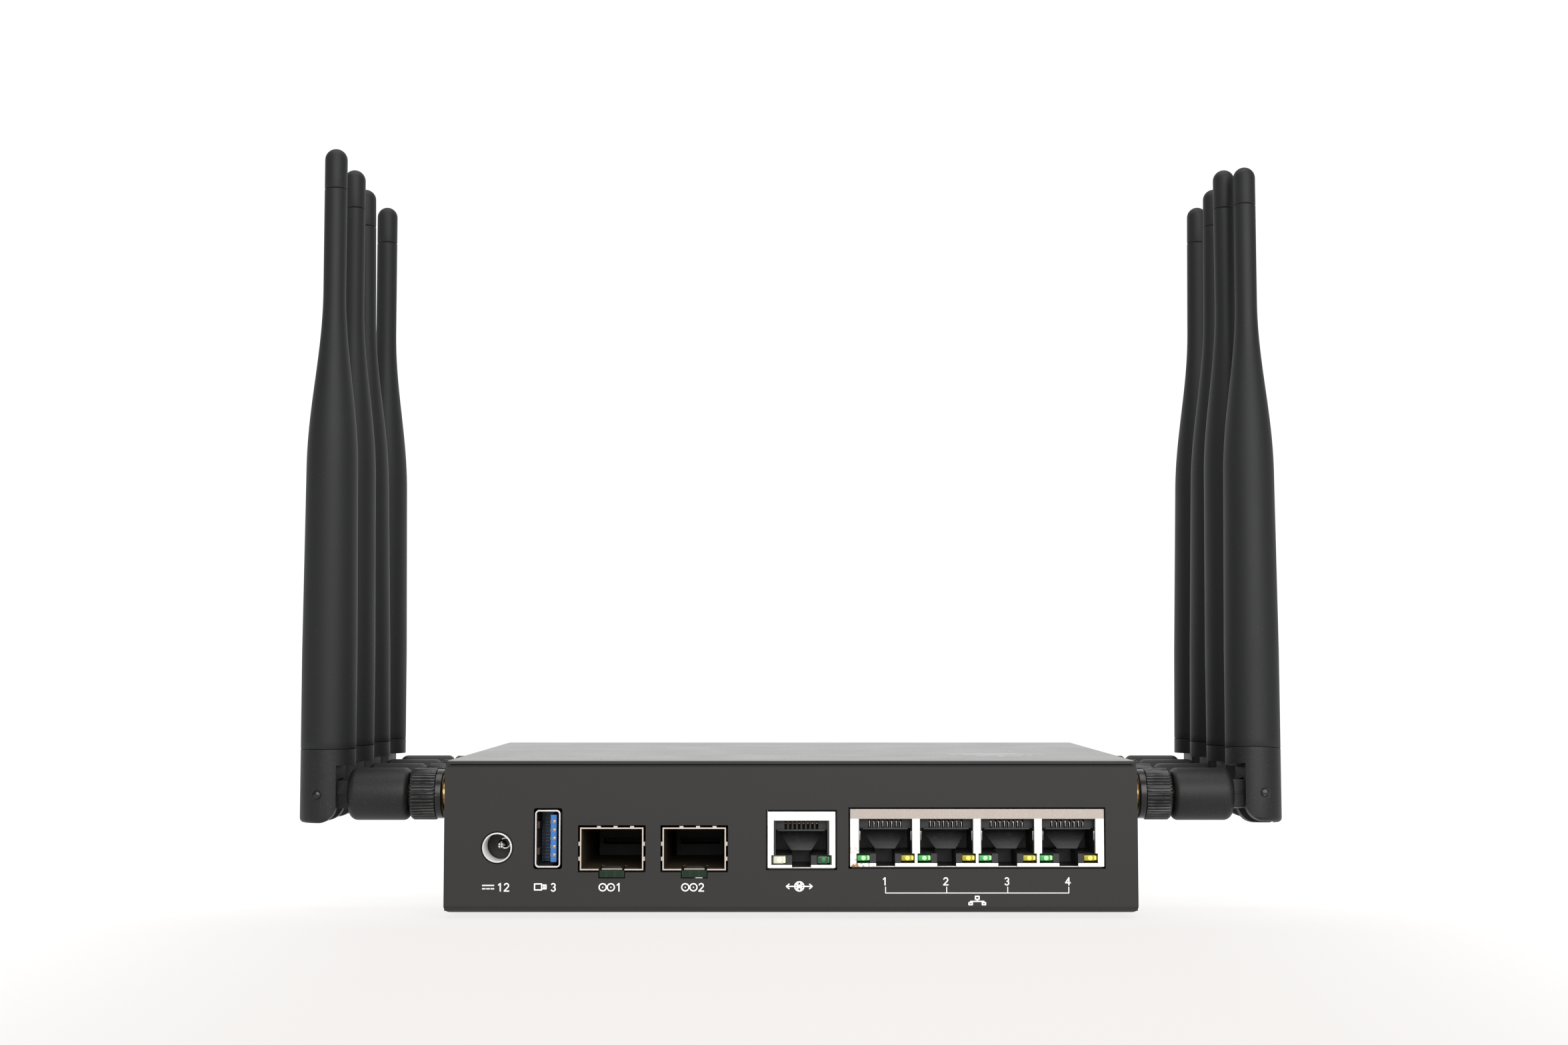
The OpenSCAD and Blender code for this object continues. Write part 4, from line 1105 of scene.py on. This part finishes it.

# %% [markdown]
# A strip of black rubber sits behind the panel around each shell, a painted shade that
# keeps the gap between shell and cutout dark.

# %% Black strips of painted shade
SHADOW_STRIP = 1.2 * MM
for name, (low, high) in {"single": (single_low, single_high), "gang": (gang_low, gang_high)}.items():
    near, far, air = panel_y + 1.05 * MM, panel_y + 1.9 * MM, 0.03 * MM
    strips = [block("strip", (low.x - SHADOW_STRIP, near, low.z), (low.x - air, far, high.z + SHADOW_STRIP), 0.05 * MM),
              block("strip", (high.x + air, near, low.z), (high.x + SHADOW_STRIP, far, high.z + SHADOW_STRIP), 0.05 * MM),
              block("strip", (low.x, near, high.z + air), (high.x, far, high.z + SHADOW_STRIP), 0.05 * MM)]
    add_piece(f"foam_{name}", joined("shadow", strips), "case", foot_rubber, ())
print("foam strips placed")

# %% [markdown]
# ## USB tongue
# The tongue is moulded in blue, with its contacts lying in shallow channels along it. The
# back of the socket is the same blue, with a grid of moulded ribs.

# %% Tongue finish and its contacts
def usb_blue_finish():
    blue = Finish("usb_blue", (0.030, 0.135, 0.40), 0.30)
    grain = blue.group(grain_group, Scale=2400.0, Speck_Limit=0.01)
    blue.tint(grain.outputs["Tone"], (0.042, 0.18, 0.50))
    grid = blue.tree.nodes.new("ShaderNodeTexBrick")
    grid.offset = 0
    grid.inputs["Scale"].default_value = 330.0
    grid.inputs["Mortar Size"].default_value = 0.09
    turn = blue.tree.nodes.new("ShaderNodeMapping")
    turn.inputs["Rotation"].default_value = (math.pi / 2, 0, 0)
    blue.tree.links.new(object_place(blue.tree), turn.inputs["Vector"])
    blue.tree.links.new(turn.outputs["Vector"], grid.inputs["Vector"])
    back_wall = blue.band("Y", front_y + 9.0 * MM, front_y + 9.8 * MM)
    blue.tint(back_wall, (0.055, 0.16, 0.32))
    blue.tint(blue.both(grid.outputs["Fac"], back_wall), (0.003, 0.010, 0.022))
    blue.bump(grid.outputs["Fac"], 0.05)
    return blue.material


finish_node("usb_tongue", usb_blue_finish(), 0.1)
tongue_low, tongue_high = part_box("usb_tongue")
usb_low, usb_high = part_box("usb_shell")
tongue_t = 1.4 * MM
tongue_face = tongue_high.x - 0.5 * MM - tongue_t
CONTACTS = 5
for k in range(CONTACTS):
    z = (tongue_low.z + tongue_high.z) / 2 + (k - (CONTACTS - 1) / 2) * 1.9 * MM
    strip = [block("strip", (tongue_face - 0.12 * MM, tongue_low.y + 0.5 * MM, z - 0.35 * MM),
                   (tongue_face + 0.1 * MM, tongue_low.y + 8 * MM, z + 0.35 * MM), 0.05 * MM),
             block("pad", (tongue_face + 0.5 * MM, tongue_low.y - 0.06 * MM, z - 0.35 * MM),
                   (tongue_face + 1.15 * MM, tongue_low.y + 0.2 * MM, z + 0.35 * MM), 0.05 * MM)]
    add_piece(f"usb_contact_{k + 1}", joined("strip", strip), "case", contact_gold, ())
print("usb contacts", CONTACTS)

# %% [markdown]
# ## Spring in the power socket
# A bent leaf of plated bronze presses on the plug from one side. From the front it shows as
# a short bright arc inside the bore.

# %% Leaf spring
ring_low, ring_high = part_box("dc_contacts")
dc_x = (ring_low.x + ring_high.x) / 2
dc_z = (ring_low.z + ring_high.z) / 2


def leaf_mesh():
    x, z = dc_x + 1.0 * MM, dc_z + 0.5 * MM
    outline = arc(x, z, 1.3 * MM, -145, 130, 24) + arc(x, z, 1.05 * MM, 130, -145, 24)
    return worked(prism("leaf", outline, panel_y + 6.6 * MM, panel_y + 9.0 * MM), edge=0.05 * MM)


def split_pin_mesh():
    r, length = 0.75 * MM, 5.3 * MM
    pin = lathe("split_pin", [(0, 0), (r - 0.2 * MM, 0), (r, 0.2 * MM), (r, length), (0, length)], 32, "Z")
    pin.transform(Matrix.Translation((dc_x, panel_y + 6 * MM, dc_z)) @ ALONG_Y)
    slits = [block("slit", (dc_x - w, panel_y + 5 * MM, dc_z - h), (dc_x + w, panel_y + 8 * MM, dc_z + h))
             for w, h in ((0.11 * MM, MM), (MM, 0.11 * MM))]
    return worked(pin, cutters=slits, edge=0.05 * MM)


def liner_mesh():
    r, lip = 3.1 * MM, 3.4 * MM
    front, back = ring_low.y, ring_low.y + 10 * MM
    outline = [(lip, back), (lip, front + 0.15 * MM), (lip - 0.15 * MM, front), (r + 0.05 * MM, front)]
    outline += [(r, front + 0.1 * MM), (r, back), (lip, back)]
    liner = lathe("liner", outline, 64, "Z")
    liner.transform(Matrix.Translation((dc_x, 0, dc_z)) @ ALONG_Y)
    return liner


def liner_finish():
    satin = Finish("power_socket_liner", (0.80, 0.79, 0.77), 0.28)
    lines = satin.group(drawn_group, Scale=2600.0)
    satin.tint(lines.outputs["Tone"], (0.66, 0.65, 0.63))
    satin.tint(satin.band("Y", front_y + 6.0 * MM, front_y + 7.0 * MM), (0.02, 0.02, 0.02))
    satin.bump(lines.outputs["Height"], 0.004)
    return satin.material


add_piece("dc_liner", liner_mesh(), "case", liner_finish(), ["dc_contacts"])
add_piece("dc_split_pin", split_pin_mesh(), "case", socket_nickel, ["dc_contacts"])
add_piece("dc_leaf_spring", leaf_mesh(), "case", socket_nickel, ())
print("dc socket at", round(dc_x / MM, 1), round(dc_z / MM, 1))

# %% [markdown]
# ## Latch springs of the fibre bays
# A module is held by a spring plate stamped out of the cage floor. Its front end stands up a
# little behind the opening, rounded at the corners.

# %% Latch plates
cage_low, cage_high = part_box("fibre_cages")
CAGE_W = 14.5 * MM
bays = [cage_low.x + 0.35 * MM + CAGE_W / 2, cage_high.x - 0.35 * MM - CAGE_W / 2]
bay_floor = cage_high.z - 0.35 * MM - 9.7 * MM


def latch_mesh(x):
    half, top, low = 2.1 * MM, bay_floor + 0.75 * MM, bay_floor - 0.55 * MM
    r = 0.5 * MM
    outline = [(x - half, low), (x + half, low)] + arc(x + half - r, top - r, r, 0, 90, 6)
    outline += arc(x - half + r, top - r, r, 90, 180, 6)
    front = worked(prism("latch", outline, panel_y + 1.6 * MM, panel_y + 1.9 * MM), edge=0.05 * MM)
    return front


for k, x in enumerate(bays, 1):
    add_piece(f"latch_spring_{k}", latch_mesh(x), "case", latch_steel, ())
print("fibre bays at", [round(x / MM, 2) for x in bays])

# %% [markdown]
# ## Printed marks
# The panels are screen printed. Every mark is drawn here as strokes with round ends, raised
# by the thickness of the ink: plain numbers, a bracket over the four ports, and the usual
# small pictures for power, data plug, network and wireless.

# %% Strokes to ink
INK = 0.03 * MM
STROKE = 0.145 * MM
SHARP_TURN = math.radians(50)


def ribbons(points):
    """Splits a stroke wherever it turns sharply, and a closed ring into two halves."""
    parts, part = [], [points[0]]
    for before, here, after in zip(points, points[1:], points[2:]):
        part.append(here)
        heading = math.atan2(here[1] - before[1], here[0] - before[0])
        turn = math.atan2(after[1] - here[1], after[0] - here[0]) - heading
        if abs((turn + math.pi) % (2 * math.pi) - math.pi) > SHARP_TURN:
            parts.append(part)
            part = [here]
    parts.append(part + [points[-1]])
    if len(parts) == 1 and points[0] == points[-1]:
        half = len(points) // 2
        parts = [points[:half + 1], points[half:]]
    return parts


def ink_mesh(strokes, width):
    """Ribbons with round ends along strokes of (x, y) points, each a hair above the one before."""
    bm = bmesh.new()
    parts = [part for points in strokes for part in ribbons(points)]
    for number, path in enumerate(parts):
        top = INK * (1 + 0.06 * (number % 12))
        left, right = [], []
        for k, (x, y) in enumerate(path):
            x0, y0 = path[max(0, k - 1)]
            x1, y1 = path[min(len(path) - 1, k + 1)]
            length = math.hypot(x1 - x0, y1 - y0)
            nx, ny = (y0 - y1) / length * width, (x1 - x0) / length * width
            left.append((x + nx, y + ny))
            right.append((x - nx, y - ny))
        outline = left
        for (x, y), (ax, ay), back in ((path[-1], left[-1], right[::-1]), (path[0], right[0], [])):
            start = math.degrees(math.atan2(ay - y, ax - x))
            outline = outline + arc(x, y, width, start - 30, start - 150, 4) + back
        upper = [bm.verts.new((x, y, top)) for x, y in outline]
        lower = [bm.verts.new((x, y, 0)) for x, y in outline]
        bm.faces.new(upper)
        for k in range(len(outline)):
            bm.faces.new([upper[k], upper[k - 1], lower[k - 1], lower[k]])
    bmesh.ops.recalc_face_normals(bm, faces=bm.faces)
    bmesh.ops.triangulate(bm, faces=bm.faces)
    return mesh_from(bm, "ink", outward=False)


def ring(cx, cy, rx, ry=None, steps=28):
    ry = rx if ry is None else ry
    points = [(cx + rx * math.cos(2 * math.pi * k / steps), cy + ry * math.sin(2 * math.pi * k / steps))
              for k in range(steps)]
    return points + points[:1]


# Shapes one unit high, from y = 0 to 1 and centred on x = 0
SHAPES = {
    "1": [[(-0.18, 0.8), (0.05, 1), (0.05, 0)]],
    "2": [arc(0, 0.72, 0.28, 160, -35, 12) + [(-0.3, 0), (0.32, 0)]],
    "3": [arc(0, 0.75, 0.25, 150, -80, 10) + arc(0, 0.26, 0.27, 80, -150, 12)],
    "4": [[(0.14, 0), (0.14, 1), (-0.32, 0.3), (0.34, 0.3)]],
    "direct_current": [[(-0.75, 0.75), (0.75, 0.75)], [(-0.75, 0.3), (-0.4, 0.3)],
                       [(-0.18, 0.3), (0.18, 0.3)], [(0.4, 0.3), (0.75, 0.3)]],
    "data_plug": [[(-0.75, 0.15), (0.2, 0.15), (0.2, 0.95), (-0.75, 0.95), (-0.75, 0.15)],
                  [(0.2, 0.3), (0.8, 0.3), (0.8, 0.8), (0.2, 0.8)], [(0.45, 0.45), (0.6, 0.45)],
                  [(0.45, 0.65), (0.6, 0.65)]],
    "duplex": [ring(-0.55, 0.5, 0.48), [(-0.56, 0.5), (-0.54, 0.5)],
               ring(0.55, 0.5, 0.48), [(0.54, 0.5), (0.56, 0.5)]],
    "arrow_out": [[(-0.5, 0.5), (0.5, 0.5)], [(0.15, 0.8), (0.5, 0.5), (0.15, 0.2)]],
    "arrow_in": [[(-0.5, 0.5), (0.5, 0.5)], [(-0.15, 0.8), (-0.5, 0.5), (-0.15, 0.2)]],
    "globe": [ring(0, 0.5, 0.5), ring(0, 0.5, 0.22, 0.5), [(-0.5, 0.5), (0.5, 0.5)],
              arc(0, 1.25, 0.62, 228, 312, 8), arc(0, -0.25, 0.62, 48, 132, 8)],
    "network": [[(-0.22, 0.65), (0.22, 0.65), (0.22, 1), (-0.22, 1), (-0.22, 0.65)], [(0, 0.65), (0, 0.4)],
                [(-0.8, 0.25), (-0.8, 0.4), (0.8, 0.4), (0.8, 0.25)]]
               + [[(x - 0.2, 0), (x + 0.2, 0), (x + 0.2, 0.25), (x - 0.2, 0.25), (x - 0.2, 0)]
                  for x in (-0.8, 0.8)],
    "wireless": [arc(0, 0, r, 48, 132, 14) for r in (0.42, 0.7, 0.98)] + [[(-0.02, 0.1), (0.02, 0.1)]],
    "power": [arc(0, 0.45, 0.42, 125, 415, 24), [(0, 0.5), (0, 1)]],
    "reset": [arc(0, 0.5, 0.42, 60, 350, 24), [(0.18, 0.62), (0.42, 0.46), (0.6, 0.72)]],
}


def printed(name, shapes, onto, material=None, stroke=STROKE):
    """Prints shapes of (name or strokes, x, y, height in metres) through the matrix onto a face."""
    strokes = []
    for shape, x, y, height in shapes:
        for points in (SHAPES[shape] if isinstance(shape, str) else shape):
            strokes.append([(x + px * height, y + py * height) for px, py in points])
    mesh = ink_mesh(strokes, stroke)
    mesh.transform(onto)
    return add_piece(name, mesh, "case", material or label_ink)


# %% Marks on the front panel
onto_front = Matrix.Translation((0, panel_y, plate_z)) @ Matrix.Rotation(math.pi / 2, 4, "X")
LABEL_H = 1.7 * MM
ROW_Z = 4.95 * MM
usb_x = (usb_low.x + usb_high.x) / 2
dc_label, usb_label = dc_x - 0.5 * MM, usb_x - 0.5 * MM
printed("mark_power_in", [("direct_current", dc_label - 1.5 * MM, ROW_Z, LABEL_H),
                          ("1", dc_label + 1.2 * MM, ROW_Z, LABEL_H),
                          ("2", dc_label + 2.7 * MM, ROW_Z, LABEL_H)], onto_front)
printed("mark_data_plug", [("data_plug", usb_label - 1.2 * MM, ROW_Z, LABEL_H),
                           ("3", usb_label + 1.8 * MM, ROW_Z, LABEL_H)], onto_front)
for k, x in enumerate(bays, 1):
    printed(f"mark_bay_{k}", [("duplex", x - 1.1 * MM, ROW_Z, LABEL_H),
                              (str(k), x + 1.6 * MM, ROW_Z, LABEL_H)], onto_front)
globe_x = single_x - 0.5 * MM
printed("mark_globe", [("arrow_in", globe_x - 2.1 * MM, ROW_Z + 0.2 * MM, LABEL_H),
                       ("globe", globe_x, ROW_Z, 2.1 * MM),
                       ("arrow_out", globe_x + 2.1 * MM, ROW_Z + 0.2 * MM, LABEL_H)], onto_front)
numbers = [(str(k), x - 0.2 * MM, 6.35 * MM, 1.6 * MM) for k, x in enumerate(gang_ports, 1)]
printed("mark_port_numbers", numbers, onto_front)
left, right, line_z, tick_z = gang_ports[0], gang_ports[-1], 4.5 * MM, 5.85 * MM
bracket = [[(left, tick_z), (left, line_z), (right, line_z), (right, tick_z)]]
bracket += [[(x, line_z), (x, tick_z)] for x in gang_ports[1:-1]]
printed("mark_bracket", [(bracket, 0, 0, 1)], onto_front, stroke=0.1 * MM)
printed("mark_network", [("network", gang_x, 1.85 * MM, 1.9 * MM)], onto_front)
print("front panel printed")

# %% Marks on the cover and the rear panel
onto_cover = Matrix.Translation((0, 0, cover_z))
printed("mark_wireless", [("wireless", 50 * MM, front_y + 18 * MM, 17 * MM)], onto_cover, mark_ink, 0.9 * MM)
upright = Matrix.Rotation(math.pi / 2, 4, "X")
onto_rear = Matrix.Translation((0, rear_y, plate_z)) @ Matrix.Rotation(math.pi, 4, "Z") @ upright
button_low, button_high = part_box("power_button")
reset_low, reset_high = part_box("reset_button")
lamps_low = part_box("status_lamps")[0]
power_x = (button_low.x + button_high.x) / 2
reset_x = (reset_low.x + reset_high.x) / 2
printed("mark_power", [("power", -power_x, 7.5 * MM, 2.6 * MM)], onto_rear)
printed("mark_reset", [("reset", -reset_x, 8.5 * MM, 2.2 * MM)], onto_rear)
lamp_xs = [lamps_low.x + 2 * MM + 8 * MM * k for k in range(6)]
for shape, x in zip(("power", "globe", "1", "2", "3", "4"), lamp_xs):
    printed(f"mark_lamp_{shape}", [(shape, -x, 9 * MM, LABEL_H)], onto_rear)
print("cover and rear panel printed")

# %% [markdown]
# ## Rating plate
# Under the case sits a silver sticker. It stays blank apart from ruled lines.

# %% Sticker under the case
STICKER = 0.08 * MM
sticker_x, sticker_y = 26 * MM, 11 * MM
sticker_middle = 44 * MM
sticker = block("sticker", (-sticker_x, sticker_middle - sticker_y, plate_z - STICKER),
                (sticker_x, sticker_middle + sticker_y, plate_z - 0.005 * MM), 0.02 * MM)
silver = plated("sticker_silver", (0.62, 0.62, 0.63), 0.42, line_mm=0.002).material
add_piece("rating_sticker", sticker, "case", silver)
rules = [([[(-0.86 * sticker_x, 0), (0.86 * sticker_x, 0)]], 0, y * MM, 1) for y in (-7, -4, -1, 2, 5, 8)]
onto_floor = Matrix.Translation((0, sticker_middle, plate_z - STICKER)) @ Matrix.Rotation(math.pi, 4, "X")
sticker_ink = ink("sticker_ink", (0.03, 0.03, 0.03))
printed("sticker_rules", rules, onto_floor, sticker_ink)
print("sticker placed")

# %% [markdown]
# ## Studio
# The router stands on a white table that sweeps up behind it. Table and wall glow like a
# light table, so that the cast shadow stays faint; in front of the case the glow is a little
# less, as a painted shadow. One broad soft light stands in front above the camera, a second
# hangs overhead, and the rest of the room is dim.

# %% Table and backdrop
def sweep_mesh():
    profile = [(-2.2, 0), (1.2, 0)] + [(1.2 + 0.8 * math.sin(t), 0.8 - 0.8 * math.cos(t))
                                       for t in [math.pi / 2 * k / 12 for k in range(1, 13)]] + [(2.0, 3.0)]
    bm = bmesh.new()
    rows = [[bm.verts.new((x, y, z)) for x in (-4, 4)] for y, z in profile]
    for a, b in zip(rows, rows[1:]):
        bm.faces.new([a[0], a[1], b[1], b[0]])
    mesh = mesh_from(bm, "sweep")
    mesh.shade_smooth()
    return mesh


table = bpy.data.objects.new("table", sweep_mesh())
scene.collection.objects.link(table)
table_white = Finish("table_white", (0.10, 0.10, 0.10), 0.9, shine=0.0)
table_white.shader.inputs["Emission Strength"].default_value = 1.0
# The glow drops in front of the case: a painted shadow
inside_left = table_white.band("X", -0.22, -0.07)
inside_right = table_white.band("X", 0.22, 0.07)
painted_shadow_in_front = table_white.band("Y", 0.02, -0.08)
across = table_white.both(inside_left, inside_right)
glow = table_white.tree.nodes.new("ShaderNodeMix")
glow.data_type = "RGBA"
glow.inputs[6].default_value = (0.97, 0.968, 0.965, 1)
glow.inputs[7].default_value = (0.78, 0.755, 0.74, 1)
table_white.tree.links.new(table_white.both(across, painted_shadow_in_front), glow.inputs["Factor"])
table_white.tree.links.new(glow.outputs[2], table_white.shader.inputs["Emission Color"])
table.data.materials.append(table_white.material)

# %% Lights and room
world = bpy.data.worlds.new("room")
scene.world = world
world.use_nodes = True
world.node_tree.nodes["Background"].inputs["Color"].default_value = (1, 1, 1, 1)
world.node_tree.nodes["Background"].inputs["Strength"].default_value = 0.35


def softbox(name, place, aim, size, power):
    lamp_data = bpy.data.lights.new(name, "AREA")
    lamp_data.shape = "RECTANGLE"
    lamp_data.size, lamp_data.size_y = size
    lamp_data.energy = power
    box = bpy.data.objects.new(name, lamp_data)
    scene.collection.objects.link(box)
    box.location = place
    box.rotation_euler = (Vector(aim) - Vector(place)).to_track_quat("-Z", "Y").to_euler()
    return box


softbox("front", (0.25, -1.1, 0.55), (0, 0, 0.05), (1.2, 0.8), 14)
softbox("overhead", (0.0, -0.1, 1.5), (0, 0, 0.05), (1.4, 1.0), 12)
scene.view_settings.view_transform = "Standard"
scene.view_settings.look = "None"
print("studio ready")
